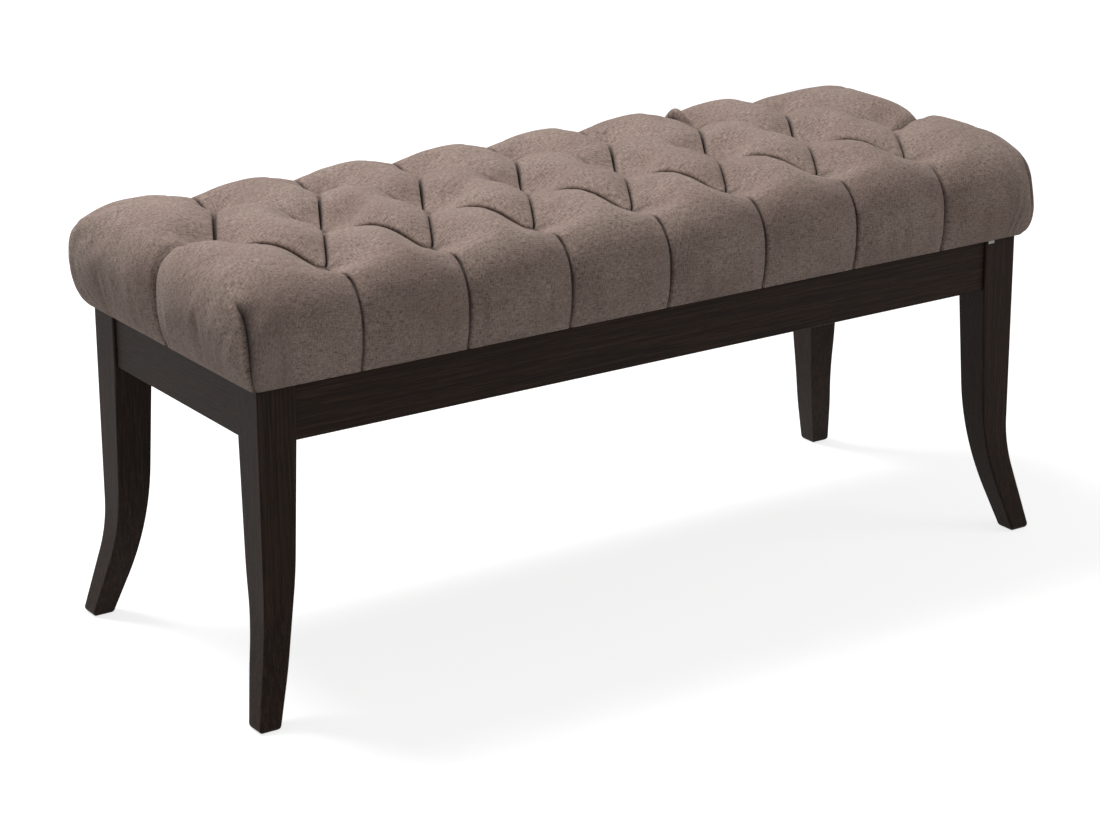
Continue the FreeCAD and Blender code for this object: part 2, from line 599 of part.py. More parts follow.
# The cushion. Its form is lofted along the bench through cross-sections of arcs. Between two side
# pleats it runs in two halves, from a pleat to the middle of a puff, where the tuft of the middle
# row is, so that the folds from tuft to tuft stay sharp.
class CushionForm:
    """The cushion's outer form, drawn in by a given margin, with its bottom raised by a given step."""

    # Where the sections are, as shares of half a puff and of the two stretches of an end.
    PUFF_SECTIONS = (0, 0.06, 0.2, 0.4, 0.65, 0.85, 1)
    END_SECTIONS = (0, 0.35, 0.7, 1)
    TIP_SECTIONS = (0, 0.26, 0.52, 0.74, 0.9, 1)
    # The share of its height that the form still has at its very end, where a small face closes it.
    TIP_FACE = 0.1
    # The least bulge of a side past the hem, and the most of the height that a shoulder takes.
    LEAST_BULGE = 1
    SHOULDER_SHARE = 0.7
    # Limits, in degrees, of the shoulder's turn and of half the crest arc's turn.
    SHOULDER_TURNS = (10, 85)
    CREST_TURNS = (1, 86)
    HALVINGS = 40

    def __init__(self, margin, step):
        self.margin = margin
        self.base = size["frame_top"]
        self.bottom = self.base + step
        self.hem_half_depth = size["frame_depth"] / 2 + size["cover_overhang"] - margin
        self.hem_half_length = size["frame_length"] / 2 + size["cover_overhang"] - margin
        self.half_length = self.hem_half_length + size["end_bulge"]
        self.last_tuft = TUFT_COUNT / 2 * size["tuft_pitch"]
        self.tuft_row = size["frame_depth"] / 2 + size["cover_overhang"] - size["tuft_side_margin"]
        self.fold = size["fold_gap"] / 2
        self.fold_crown = size["fold_gap"] / 8

    def level(self, height):
        """The level of a point of the top, from its height above the cushion's bottom."""
        return self.base + height - self.margin

    def across_puff(self, share):
        """The section at a share of the way from a side pleat, 0, to the middle of its puff, 1."""
        fullness = math.sqrt(1 - (1 - share) ** 2)
        widest = self.base + size["bulge_height"]
        side = self.hem_half_depth + size["side_bulge"] - size["pleat_side_depth"] * (1 - fullness)
        crest = self.level(size["crest_height"] - size["pleat_crest_drop"] * (1 - fullness))
        fold = self.fold + (self.tuft_row - self.fold) * (1 - share)
        floor = self.level(size["tuft_height"] + size["pleat_rise"] * math.sin(math.pi * share))
        diamond = floor + (self.level(size["crest_height"]) - floor) * (1 - share ** 2) + self.fold_crown
        lower_half = (self.hem_half_depth, self.bottom, side, widest)
        return self.section(*lower_half, crest, fold, floor, diamond)

    def across_end(self, x):
        """The section at x, between the last tuft and the end of the cushion."""
        if x == self.last_tuft:
            return self.across_puff(1)
        share = (x - self.last_tuft) / (self.half_length - self.last_tuft)
        past_hem = max(x - self.hem_half_length, 0) / size["end_bulge"]
        rounding = max(x - self.half_length + size["end_roundness"], 0) / size["end_roundness"]
        squareness = size["end_squareness"]
        height = max((1 - rounding ** squareness) ** (1 / squareness), self.TIP_FACE)
        lift = (1 - self.TIP_FACE) * (1 - math.sqrt(1 - past_hem ** 2))

        bulge_rise = (size["end_bulge_height"] - size["bulge_height"]) * share
        widest = self.base + size["bulge_height"] + bulge_rise
        side = self.hem_half_depth + size["side_bulge"] - size["corner_draw"] * share ** 2
        side -= size["end_narrowing"] * past_hem ** 3
        hem_radius = size["hem_corner_radius"]
        into_corner = max(min(x, self.hem_half_length) - self.hem_half_length + hem_radius, 0)
        hem = self.hem_half_depth - hem_radius + math.sqrt(hem_radius ** 2 - into_corner ** 2)
        hem = min(hem + (side - hem) * lift, side - self.LEAST_BULGE)
        bottom = self.bottom + (widest - self.bottom) * lift

        crest = widest + (self.level(size["crest_height"]) - widest) * height
        run = min((x - self.last_tuft) / size["end_pleat_run"], 1)
        pleat_rise = (size["end_pleat_height"] - size["tuft_height"]) * math.sin(math.pi / 2 * run)
        floor = widest + (self.level(size["tuft_height"] + pleat_rise) - widest) * height
        return self.section(hem, bottom, side, widest, crest, self.fold, floor, floor + self.fold_crown)

    def section(self, hem, bottom, side, widest, crest, fold, floor, diamond):
        """A closed section of the cushion, as points of arcs: its back half mirrors its front half."""
        low_radius = ((side - hem) ** 2 + (widest - bottom) ** 2) / (2 * (side - hem))
        low_turn = math.asin((widest - bottom) / low_radius) / 2
        low = Vector(0, side - low_radius, widest)
        low += Vector(0, math.cos(low_turn), -math.sin(low_turn)) * low_radius
        shoulder = min(size["shoulder_radius"], self.SHOULDER_SHARE * (crest - widest))

        def on_shoulder(turn):
            return Vector(0, side - shoulder * (1 - math.cos(turn)), widest + shoulder * math.sin(turn))

        # The further the shoulder turns, the lower the crest. Halve the range until the crest fits.
        least_turn, most_turn = (math.radians(turn) for turn in self.SHOULDER_TURNS)
        for halving in range(self.HALVINGS):
            turn = (least_turn + most_turn) / 2
            middle, top = self.crest_arc(on_shoulder(turn), turn, Vector(0, fold, floor))
            if top < crest:
                most_turn = turn
            else:
                least_turn = turn
        lower = [Vector(0, hem, bottom), low, Vector(0, side, widest)]
        upper = [on_shoulder(turn / 2), on_shoulder(turn), middle, Vector(0, fold, floor)]
        front = lower + upper
        back = [Vector(0, -point.y, point.z) for point in reversed(front)]
        return front + [Vector(0, 0, diamond)] + back

    def crest_arc(self, start, turn, end):
        """The middle of the arc that leaves the shoulder smoothly and comes down to the fold, and its top."""
        chord = end - start
        slope = math.atan2(-chord.z, -chord.y)
        least_turn, most_turn = (math.radians(limit) for limit in self.CREST_TURNS)
        half_turn = min(max(math.pi / 2 - turn + slope, least_turn), most_turn)
        radius = chord.Length / (2 * math.sin(half_turn))
        outwards = Vector(0, -math.sin(slope), math.cos(slope))
        middle = (start + end) * 0.5 + outwards * radius * (1 - math.cos(half_turn))
        centre = middle - outwards * radius
        return middle, centre.z + radius

    def wire(self, x, points):
        """The section's wire at x: seven arcs and the straight bottom."""
        points = [Vector(x, point.y, point.z) for point in points]
        edges = [Part.Arc(*points[first:first + 3]).toShape() for first in range(0, len(points) - 2, 2)]
        edges.append(Part.LineSegment(points[-1], points[0]).toShape())
        return Part.Wire(edges)

    def solid(self):
        """The whole form: its lofts, end to end, fused."""
        stretches = []
        for number in range(TUFT_COUNT):
            pleat = (number - (TUFT_COUNT - 1) / 2) * size["tuft_pitch"]
            for half_puff in (-size["tuft_pitch"] / 2, size["tuft_pitch"] / 2):
                shares = self.PUFF_SECTIONS
                wires = [self.wire(pleat + half_puff * share, self.across_puff(share)) for share in shares]
                stretches.append(Part.makeLoft(wires, True, False))
        # Each end has a smooth stretch up to where the hem's corner starts, then a rounded one.
        turn_in = self.hem_half_length - size["hem_corner_radius"]
        ends = [
            (self.last_tuft, turn_in, self.END_SECTIONS, False),
            (turn_in, self.half_length, self.TIP_SECTIONS, True),
        ]
        for side in (-1, 1):
            for first, last, shares, ruled in ends:
                places = [first + (last - first) * share for share in shares]
                wires = [self.wire(side * x, self.across_end(x)) for x in places]
                stretches.append(Part.makeLoft(wires, True, ruled))
        return stretches[0].multiFuse(stretches[1:]).Solids[0]


def cushion(name, margin, step):
    """The cushion's form as an object of the document."""
    thing = doc.addObject("Part::Feature", name)
    thing.Shape = CushionForm(margin, step).solid()
    return thing


# Twines run from a disc under the board to the underside of the cover at each tuft.
TWINE_TOP = "(frame_top + tuft_height - fabric_thickness)"
ANCHOR_BASE = f"({SEAT_BASE} - anchor_thickness)"
twine = add("Part::Cylinder", "twine", Radius="twine_radius", Height=f"{TWINE_TOP} - {ANCHOR_BASE}")
twine_drill = add("Part::Cylinder", "twine_drill", Radius="twine_radius + hole_clearance",
                  Height=f"{TWINE_TOP} - {ANCHOR_BASE} + drill_overrun")
anchor_disc = add("Part::Cylinder", "anchor_disc", Radius="anchor_radius", Height="anchor_thickness")
placed_copies("tuft_twines", twine, tuft_sites(ANCHOR_BASE))
placed_copies("tuft_anchors", cut("anchor", anchor_disc, twine_drill), tuft_sites(ANCHOR_BASE))
twine_holes = placed_copies("twine_holes", twine_drill, tuft_sites(ANCHOR_BASE))


# Staples hold the hem and the dust cover to the board. They stay clear of blocks and rail.
def staple_body():
    """A staple with its crown along X: the crown's lower face is at 0, and the legs point up."""
    crown = box("staple_crown", "staple_width", "staple_wire", "staple_wire", "0", "0", "0")
    ends = []
    for side in (-1, 1):
        x = f"{side} * (staple_width - staple_wire) / 2"
        ends.append(box(f"staple_end_{len(ends)}", "staple_wire", "staple_wire", "staple_leg", x, "0", "0"))
    return fuse("staple", [crown] + ends)


def staple_sites():
    """Middle of each staple's crown, along all four aprons."""
    doc.recompute()
    clear = doc.getObject("corner_block_rear_right").Shape.BoundBox
    level = f"{SUPPORT_TOP} - staple_wire"
    in_from_leg = f"({APRON_FACE} + staple_inset)"
    sites = []
    for reach, turn in ((clear.XMin, NO_TURN), (clear.YMin, Rotation(Z_AXIS, 90))):
        pairs = int((reach - size["staple_width"]) / size["staple_pitch"] + 0.5)
        for number in range(2 * pairs):
            along = f"({number} - {pairs} + 0.5) * staple_pitch"
            for side in (-1, 1):
                if turn == NO_TURN:
                    sites.append((along, f"{side} * (frame_depth / 2 - {in_from_leg})", level, turn))
                else:
                    sites.append((f"{side} * (frame_length / 2 - {in_from_leg})", along, level, turn))
    return sites


hem_staples = placed_copies("hem_staples", staple_body(), staple_sites())

# Seat board and foam, each with a hole for every twine. The cushion is built on the board.
BOARD_LENGTH = "(frame_length - 2 * board_inset)"
BOARD_DEPTH = "(frame_depth - 2 * board_inset)"
board_holes = fuse("board_holes", [twine_holes, seat_screw_holes, hem_staples])
board_blank = plate("seat_board", BOARD_LENGTH, BOARD_DEPTH, "board_thickness",
                    is_upright, "board_corner_radius")
place(board_blank, z=SEAT_BASE)
cut("seat_board", board_blank, board_holes)
foam_blank = plate("foam_pad", BOARD_LENGTH, BOARD_DEPTH, "foam_thickness",
                   is_upright, "board_corner_radius")
place(foam_blank, z=f"{SEAT_BASE} + board_thickness")
foam_eased = rounded("foam_eased", foam_blank, size["foam_edge_radius"], is_foam_top)
cut("foam_pad", foam_eased, twine_holes)

# Wadding and cover. The cover turns in under the board as a hem.
cushion_form = cushion("cushion_form", 0, 0)
lining = cushion("lining", size["fabric_thickness"], size["hem_thickness"])
wadding_core = fuse("wadding_core", [board_blank, foam_eased, twine_holes])
cut("fibre_wadding", lining, wadding_core)
hem_opening = box("hem_opening", "frame_length + 2 * cover_overhang - 2 * hem_width",
                  "frame_depth + 2 * cover_overhang - 2 * hem_width", "hem_thickness", "0", "0", "frame_top")
cover_shell = cut("cover_shell", cushion_form, lining)
cut("tufted_cover", cover_shell, fuse("hem_holes", [hem_opening, hem_staples, seat_screw_holes]))

# The dust cover closes the underside between the aprons. It is notched round the legs.
dust_blank = plate("dust_cover", f"frame_length - 2 * {APRON_FACE} - 2 * dust_gap",
                   f"frame_depth - 2 * {APRON_FACE} - 2 * dust_gap", "dust_thickness")
place(dust_blank, z=SUPPORT_TOP)
notches = []
for corner, side_x, side_y, turn in CORNERS:
    notch_side = "2 * (leg_width + dust_gap)"
    notch = box(f"{corner}_notch", notch_side, notch_side, "dust_thickness",
                f"{side_x} * frame_length / 2", f"{side_y} * frame_depth / 2", SUPPORT_TOP)
    notches.append(notch)
cut("dust_cover", dust_blank, fuse("dust_cover_holes", notches + [seat_screw_holes, hem_staples]))

# A small blank tab, sewn into the hem by the front right leg.
box("seam_tag", "tag_width", "tag_thickness", "tag_drop", "frame_length / 2 - tag_inset",
    "-(frame_depth + cover_overhang) / 2", "frame_top - tag_drop")

NODES = (
    [f"{corner[0]}_leg" for corner in CORNERS]
    + [row[0] for row in APRONS]
    + [f"corner_block_{corner[0]}" for corner in CORNERS]
    + ["center_rail", "frame_dowels", "corner_block_screws", "leg_hanger_bolts", "leg_bolt_washers"]
    + ["leg_bolt_nuts", "seat_screws", "seat_board", "foam_pad", "fibre_wadding", "tufted_cover"]
    + ["tuft_twines", "tuft_anchors", "hem_staples", "dust_cover", "seam_tag"]
)

doc.recompute()
for thing in doc.Objects:
    if "Invalid" in thing.State or "Error" in thing.State:
        raise RuntimeError(f"{thing.Name} failed: {thing.State}")
os.makedirs("parts", exist_ok=True)
for name in NODES:
    node = doc.getObject(name)
    if node.Shape.isNull() or not node.Shape.isValid():
        raise RuntimeError(f"{name} has no valid shape")
    node.Label = name
    node.Shape.exportStep(f"parts/{name}.step")
    print(name, len(node.Shape.Solids), "solids,", round(node.Shape.Volume), "mm3")
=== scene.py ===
import math
import bmesh
import bpy
import numpy as np
from mathutils import Matrix, Vector
from mathutils.kdtree import KDTree


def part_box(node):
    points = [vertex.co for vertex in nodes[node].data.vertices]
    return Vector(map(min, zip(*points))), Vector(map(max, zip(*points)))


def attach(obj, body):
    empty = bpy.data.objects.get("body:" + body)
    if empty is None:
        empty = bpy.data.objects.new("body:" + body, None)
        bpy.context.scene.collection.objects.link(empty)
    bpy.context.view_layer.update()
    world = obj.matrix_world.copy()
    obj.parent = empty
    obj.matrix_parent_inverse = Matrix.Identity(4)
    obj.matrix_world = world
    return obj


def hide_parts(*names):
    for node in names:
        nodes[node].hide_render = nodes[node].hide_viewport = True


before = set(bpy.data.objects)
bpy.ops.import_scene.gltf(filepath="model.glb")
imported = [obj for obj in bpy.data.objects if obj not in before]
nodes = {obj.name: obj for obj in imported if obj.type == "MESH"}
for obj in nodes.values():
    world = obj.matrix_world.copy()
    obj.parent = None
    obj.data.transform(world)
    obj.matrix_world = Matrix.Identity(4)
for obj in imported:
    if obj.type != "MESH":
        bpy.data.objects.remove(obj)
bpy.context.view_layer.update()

# Everything below is in metres, in the frame's own axes: +X along the bench, the front faces -Y.
MM = 0.001

# Keeps a division from having nothing to divide by.
TINY = 1e-9

# The cushion's size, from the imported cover.
cover_low, cover_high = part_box("tufted_cover")
CREST = cover_high.z
HEM = cover_low.z
HALF_LENGTH = cover_high.x
HALF_DEPTH = cover_high.y

# Its outline. The wall is widest at the bulge and tucks in below it, and the shoulder rounds off above.
SIDE_BULGE_HEIGHT = 48 * MM
END_BULGE_HEIGHT = 62 * MM
SIDE_SHOULDER = 92 * MM
END_SHOULDER = 56 * MM
SQUARENESS = 2.3
HEM_INSET_SIDE = 12 * MM
HEM_INSET_END = 17 * MM

# The tufts, in rows of 7, 8 and 7. LAST_TUFT is the outermost of the middle row.
PITCH = 121 * MM
ROW = 116 * MM
COUNT = 7
LAST_TUFT = COUNT / 2 * PITCH
TUFT_DEPTH = 27 * MM


def smooth(value):
    """0 below 0, 1 above 1, and an even ramp between."""
    value = np.clip(value, 0, 1)
    return value * value * (3 - 2 * value)


# The cover's flat pattern. A point of it has x and y in the cushion's own directions. Inside the core
# it is right above its place; outside, it lies on the shoulder and the wall, as far from the core as
# the fabric is long.
class Profile:
    """The outline of shoulder and wall across one side: reach past the core and level, by length.
    TUCK is how much of a quarter circle the wall follows below the bulge."""

    STEPS = 400
    TUCK = 0.9

    def __init__(self, shoulder, bulge_height, hem_inset):
        turn = np.linspace(0, math.pi / 2, self.STEPS)
        reach = shoulder * np.sin(turn) ** (2 / SQUARENESS)
        level = HEM + bulge_height + (CREST - HEM - bulge_height) * np.cos(turn) ** (2 / SQUARENESS)
        down = np.linspace(0, 1, self.STEPS)[1:]
        tucked = (1 - np.sqrt(1 - self.TUCK * down ** 2)) / (1 - math.sqrt(1 - self.TUCK))
        self.reach = np.append(reach, shoulder - hem_inset * tucked)
        self.level = np.append(level, HEM + bulge_height * (1 - down))
        length = np.append(0, np.cumsum(np.hypot(np.diff(self.reach), np.diff(self.level))))
        self.length = length[-1]
        self.share = length / length[-1]

    def at(self, share):
        """Reach and level at a share of the length."""
        return np.interp(share, self.share, self.reach), np.interp(share, self.share, self.level)


side_profile = Profile(SIDE_SHOULDER, SIDE_BULGE_HEIGHT, HEM_INSET_SIDE)
end_profile = Profile(END_SHOULDER, END_BULGE_HEIGHT, HEM_INSET_END)
CORE_X = HALF_LENGTH - END_SHOULDER
CORE_Y = HALF_DEPTH - SIDE_SHOULDER
FLAT_X = CORE_X + end_profile.length
FLAT_Y = CORE_Y + side_profile.length
CORNER_ANGLE = math.pi / 4

# Corners are round at the crest, less so down the wall, and square at the hem. The values are for the
# front and the rear corners, and BLUNT_CREST is a round corner.
BLUNT_CREST = 0.5
WALL_SHARPNESS = (0.27, 0.37)
WALL_SHARP_BY = 0.5
HEM_SHARPNESS = (0.17, 0.045)
HEM_SHARP_FROM = 0.6


def wall_length(angle):
    """The length of shoulder and wall, at an angle from the cushion's length."""
    return end_profile.length * np.cos(angle) ** 2 + side_profile.length * np.sin(angle) ** 2


def drape(flat):
    """The places in space of points of the flat pattern, with no tufts yet."""
    x, y = flat[:, 0], flat[:, 1]
    past_x = np.maximum(np.abs(x) - CORE_X, 0)
    past_y = np.maximum(np.abs(y) - CORE_Y, 0)
    angle = np.arctan2(past_y, past_x + TINY * MM)
    share = np.hypot(past_x, past_y) / wall_length(angle)
    end_reach, end_level = end_profile.at(share)
    side_reach, side_level = side_profile.at(share)
    is_front = y < 0
    at_hem = (share - HEM_SHARP_FROM) / (1 - HEM_SHARP_FROM)
    bluntness = BLUNT_CREST - np.where(is_front, *WALL_SHARPNESS) * smooth(share / WALL_SHARP_BY)
    bluntness -= np.where(is_front, *HEM_SHARPNESS) * smooth(at_hem)
    stretch = (np.cos(angle) ** (1 / bluntness) + np.sin(angle) ** (1 / bluntness)) ** -bluntness
    place = np.empty((len(flat), 3))
    place[:, 0] = np.sign(x) * (np.minimum(np.abs(x), CORE_X) + end_reach * np.cos(angle) * stretch)
    place[:, 1] = np.sign(y) * (np.minimum(np.abs(y), CORE_Y) + side_reach * np.sin(angle) * stretch)
    place[:, 2] = end_level * np.cos(angle) ** 2 + side_level * np.sin(angle) ** 2
    return place


# The flat pattern as a grid of patches, with an edge of the grid along every fold.
def even(count):
    """Shares from 0 to 1 in even steps."""
    return np.linspace(0, 1, count + 1)


def along(start, end, shares):
    """Points on the straight line between two points of the flat pattern."""
    start, end = np.array(start, float), np.array(end, float)
    return start + np.outer(shares, end - start)


def patch(bottom, right, top, left):
    """The grid between four edges. bottom and top run the same way, and so do left and right."""
    across = even(len(bottom) - 1)[:, None, None]
    up = even(len(left) - 1)[None, :, None]
    rows = bottom[:, None] * (1 - up) + top[:, None] * up
    columns = left[None] * (1 - across) + right[None] * across
    corners = (bottom[0] * (1 - across) * (1 - up) + bottom[-1] * across * (1 - up)
               + top[0] * (1 - across) * up + top[-1] * across * up)
    return rows + columns - corners


def hem_point(angle):
    """A point of the hem in the corner of the flat pattern, at an angle from the cushion's length."""
    return CORE_X + wall_length(angle) * math.cos(angle), CORE_Y + wall_length(angle) * math.sin(angle)


class Pattern:
    """The patches of the cover's top and walls. fold_steps are the steps from one fold to the middle
    between two, hem_rows the steps from hem to middle of a puff, and tuft_rows from there to a tuft.
    Steps get closer towards folds where closeness is over 1, and rows towards hem and tufts."""

    ARC_POINTS = 60
    MERGED = 0.002 * MM

    def __init__(self, fold_steps, hem_rows, tuft_rows, closeness, row_closeness):
        half = 0.5 * even(fold_steps) ** closeness
        self.fold = np.append(half, 1 - half[-2::-1])
        self.half = fold_steps
        self.hem_rows, self.tuft_rows = hem_rows, tuft_rows
        rows = even(hem_rows + tuft_rows)
        self.rows = rows - row_closeness * np.sin(2 * math.pi * rows)
        self.closeness = closeness

    def diamond(self, x):
        """The diamond between four tufts, around the middle of the cushion at x."""
        front, right, back, left = (x, -ROW), (x + PITCH / 2, 0), (x, ROW), (x - PITCH / 2, 0)
        return patch(along(front, right, self.fold), along(right, back, self.fold),
                     along(left, back, self.fold), along(front, left, self.fold))

    def half_puff(self, pleat, way, side):
        """Half a puff of a long side: from the pleat at x = pleat to the middle of the puff."""
        middle, hem = pleat + way * PITCH / 2, side * FLAT_Y
        return patch(along((pleat, hem), (middle, hem), self.fold),
                     along((middle, hem), (middle, 0), self.rows),
                     along((pleat, side * ROW), (middle, 0), self.fold),
                     along((pleat, hem), (pleat, side * ROW), self.rows))

    def corner_hem(self, straight_end, first_angle):
        """The hem from the end of a straight stretch round to the corner fold, and closer near both."""
        arc = [hem_point(angle) for angle in np.linspace(first_angle, CORNER_ANGLE, self.ARC_POINTS)]
        line = np.array([straight_end] + arc)
        length = np.append(0, np.cumsum(np.hypot(*np.diff(line, axis=0).T)))
        first = self.fold[:self.half + 1] * PITCH
        rest = 1 - (1 - even(self.hem_rows)[1:]) ** self.closeness
        places = np.append(first, first[-1] + (length[-1] - first[-1]) * rest)
        return np.column_stack([np.interp(places, length, line[:, axis]) for axis in (0, 1)])

    def end_puff(self, way, side):
        """The puff round a corner: patches in its corners, and a fan to the corner fold."""
        tuft, end_tuft, middle = (LAST_TUFT - PITCH / 2, ROW), (LAST_TUFT, 0), (CORE_X, CORE_Y)
        hem_start, hem_end = (tuft[0], FLAT_Y), (FLAT_X, 0)
        pleat = along(hem_start, tuft, self.rows)
        fold = along(tuft, end_tuft, self.fold)
        end_pleat = along(end_tuft, hem_end, 1 - self.rows[::-1])
        side_hem = self.corner_hem(hem_start, math.pi / 2)
        end_hem = self.corner_hem(hem_end, 0)
        half, hem_rows, tuft_rows = self.half, self.hem_rows, self.tuft_rows
        to_pleat = along(middle, pleat[hem_rows], even(half))
        to_fold = along(middle, fold[half], even(tuft_rows))
        to_end_pleat = along(middle, end_pleat[tuft_rows], even(half))
        to_end_hem = along(middle, end_hem[half], even(hem_rows))
        to_side_hem = along(middle, side_hem[half], even(hem_rows))
        grids = [
            patch(to_pleat, pleat[hem_rows:], fold[half::-1], to_fold),
            patch(to_fold, fold[half:], end_pleat[tuft_rows::-1], to_end_pleat),
            patch(to_end_pleat, end_pleat[tuft_rows:], end_hem[half::-1], to_end_hem),
            patch(to_side_hem, side_hem[half::-1], pleat[hem_rows::-1], to_pleat),
        ]
        for hem in (end_hem, side_hem):
            grids.append(middle + even(hem_rows)[:, None, None] * (hem[half:] - middle)[None])
        return [grid * (way, side) for grid in grids]

    def patches(self):
        """All patches. The outermost puffs of each side belong to the corners."""
        grids = []
        for number in range(COUNT):
            pleat = (number - (COUNT - 1) / 2) * PITCH
            grids.append(self.diamond(pleat))
            for way in (-1, 1):
                if abs(pleat + way * PITCH / 2) < LAST_TUFT - PITCH / 4:
                    grids += [self.half_puff(pleat, way, side) for side in (-1, 1)]
        for way in (-1, 1):
            for side in (-1, 1):
                grids += self.end_puff(way, side)
        return grids

    def mesh(self):
        """The flat pattern as points and quads. Points that patches share are merged."""
        points, quads, first = [], [], 0
        for grid in self.patches():
            across, up = grid.shape[:2]
            number = first + np.arange(across * up).reshape(across, up)
            ring = [number[:-1, :-1], number[1:, :-1], number[1:, 1:], number[:-1, 1:]]
            quads.append(np.stack(ring, 2).reshape(-1, 4))
            points.append(grid.reshape(-1, 2))
            first += across * up
        points, quads = np.vstack(points), np.vstack(quads)
        key = np.round(points / self.MERGED).astype(int)
        used, back = np.unique(key, axis=0, return_index=True, return_inverse=True)[1:]
        points, quads = points[used], back.reshape(-1)[quads]
        corner = points[quads]
        first_way, second_way = corner[:, 2] - corner[:, 0], corner[:, 3] - corner[:, 1]
        turned = first_way[:, 0] * second_way[:, 1] < first_way[:, 1] * second_way[:, 0]
        quads[turned] = quads[turned][:, ::-1]
        return points, quads


# The folds of the pattern: the diagonals between tufts, the pleats of sides and ends, and the corners.
class Fold:
    """A straight fold of the flat pattern. lip is the side of it, 1 or -1, whose fabric laps over.

    REACH is how far from the fold it draws the cover in, and SHARPNESS how fast that falls off on the
    lip's side. The groove is GROOVE deep and about UNDER wide on the other side. The lip is LIP wide and
    laps over by OVERHANG. Both fade out within END_FADE past the ends of the fold."""

    REACH = 60 * MM
    SHARPNESS = 3
    GROOVE = 6.5 * MM
    OVERHANG = 2.6 * MM
    LIP = 3.4 * MM
    LIP_FADE = (4 * MM, 10 * MM)
    UNDER = 2.2 * MM
    END_FADE = 3 * MM
    LEAST_DISTANCE = 0.001 * MM

    def __init__(self, start, end, lip, strength=1):
        self.start, self.end = np.array(start, float), np.array(end, float)
        self.length = math.hypot(*(self.end - self.start))
        self.way = (self.end - self.start) / self.length
        self.across = np.array((-self.way[1], self.way[0])) * lip
        self.strength = strength

    def measure(self, flat):
        """How far along the fold each point is, its distance, and how far it is on the lip's side."""
        offset = flat - self.start
        distance_along = offset @ self.way
        clamped = np.clip(distance_along, 0, self.length)
        beside = offset @ self.across
        return clamped, np.hypot(distance_along - clamped, beside), beside

    def depth(self, distance_along):
        """Depth of the fold below the crest."""
        raise NotImplementedError

    def groove(self, distance_along):
        """How much of the groove's depth the fold has, from 0 to 1."""
        raise NotImplementedError

    def pull(self, flat):
        """How far the fold draws each point in. It falls off fast on the lip's side."""
        distance_along, distance, beside = self.measure(flat)
        on_lip = 0.5 + 0.5 * beside / np.maximum(distance, self.LEAST_DISTANCE)
        left = np.clip(1 - distance / self.REACH, 0, 1)
        share = on_lip * left ** self.SHARPNESS + (1 - on_lip) * self.under(left)
        return self.depth(distance_along) * share

    def under(self, left):
        """How much of the depth is left on the side without the lip."""
        return left ** 2

    def lap(self, flat):
        """How each point shifts over the pattern and sinks into it, for the lip and the groove."""
        distance_along, distance, beside = self.measure(flat)
        amount = self.groove(distance_along) * self.strength
        amount = amount * smooth(1 - (distance - np.abs(beside)) / self.END_FADE)
        lip = np.clip(beside / self.LIP, 0, None)
        sink = np.where(beside > 0, 1 - smooth(lip), np.exp(np.minimum(beside, 0) / self.UNDER))
        fade_start, fade_end = self.LIP_FADE
        shift = lip * np.exp(1 - lip) * smooth((fade_end - beside) / (fade_end - fade_start))
        shift = np.where(beside > 0, shift, 0) * amount * self.OVERHANG
        return -shift[:, None] * self.across, sink * amount * self.GROOVE


class Diagonal(Fold):
    """A fold between two tufts. It rises by RISE between them, and its groove is shallow near them."""

    REACH = 56 * MM
    SHARPNESS = 3.6
    RISE = 15.5 * MM
    RISE_POWER = 0.8
    AT_TUFT = 0.3
    TUFT_RUN = 14 * MM

    def under(self, left):
        return smooth(left)

    def depth(self, distance_along):
        return TUFT_DEPTH - self.RISE * np.sin(math.pi * distance_along / self.length) ** self.RISE_POWER

    def groove(self, distance_along):
        from_tuft = np.minimum(distance_along, self.length - distance_along)
        return self.AT_TUFT + (1 - self.AT_TUFT) * smooth(from_tuft / self.TUFT_RUN)


class RearDiagonal(Diagonal):
    """A fold behind the middle row. The fabric rises from it more steeply."""

    def under(self, left):
        return left ** 2


class Pucker(Fold):
    """A short crease that runs out from a tuft."""

    REACH = 0
    GROOVE = 2.2 * MM
    OVERHANG = 1 * MM
    UNDER = 3 * MM
    START = 3 * MM
    FADE_IN = 5 * MM
    FADE_OUT = 1 / 3
    MOST = 0.6

    def __init__(self, tuft, angle, length, lip):
        way = np.array((math.cos(angle), math.sin(angle)))
        super().__init__(tuft + way * self.START, tuft + way * length, lip)

    def groove(self, distance_along):
        fade_out = smooth((1 - distance_along / self.length) / self.FADE_OUT)
        return self.MOST * smooth(distance_along / self.FADE_IN) * fade_out


class Pleat(Fold):
    """A fold from a tuft down to the hem. It starts as deep as the tuft, and runs out at the hem."""

    WALL_DEPTH = 8 * MM
    RUN = 28 * MM
    AT_TUFT = 0.4
    TUFT_RUN = 16 * MM
    LOST_AT_HEM = 0.5

    def depth(self, distance_along):
        wall = self.WALL_DEPTH * np.sqrt(1 - (distance_along / self.length) ** 4)
        return (TUFT_DEPTH - self.WALL_DEPTH) * np.exp(-distance_along / self.RUN) + wall

    def groove(self, distance_along):
        from_tuft = self.AT_TUFT + (1 - self.AT_TUFT) * smooth(distance_along / self.TUFT_RUN)
        return from_tuft - self.LOST_AT_HEM * smooth(distance_along / self.length)


class RearPleat(Pleat):
    """A pleat of the back, which is shallower."""

    WALL_DEPTH = 3 * MM
    RUN = 22 * MM


class EndPleat(Pleat):
    """The pleat over an end. It has a deeper and wider groove."""

    WALL_DEPTH = 7 * MM
    RUN = 45 * MM
    GROOVE = 9 * MM
    UNDER = 3 * MM


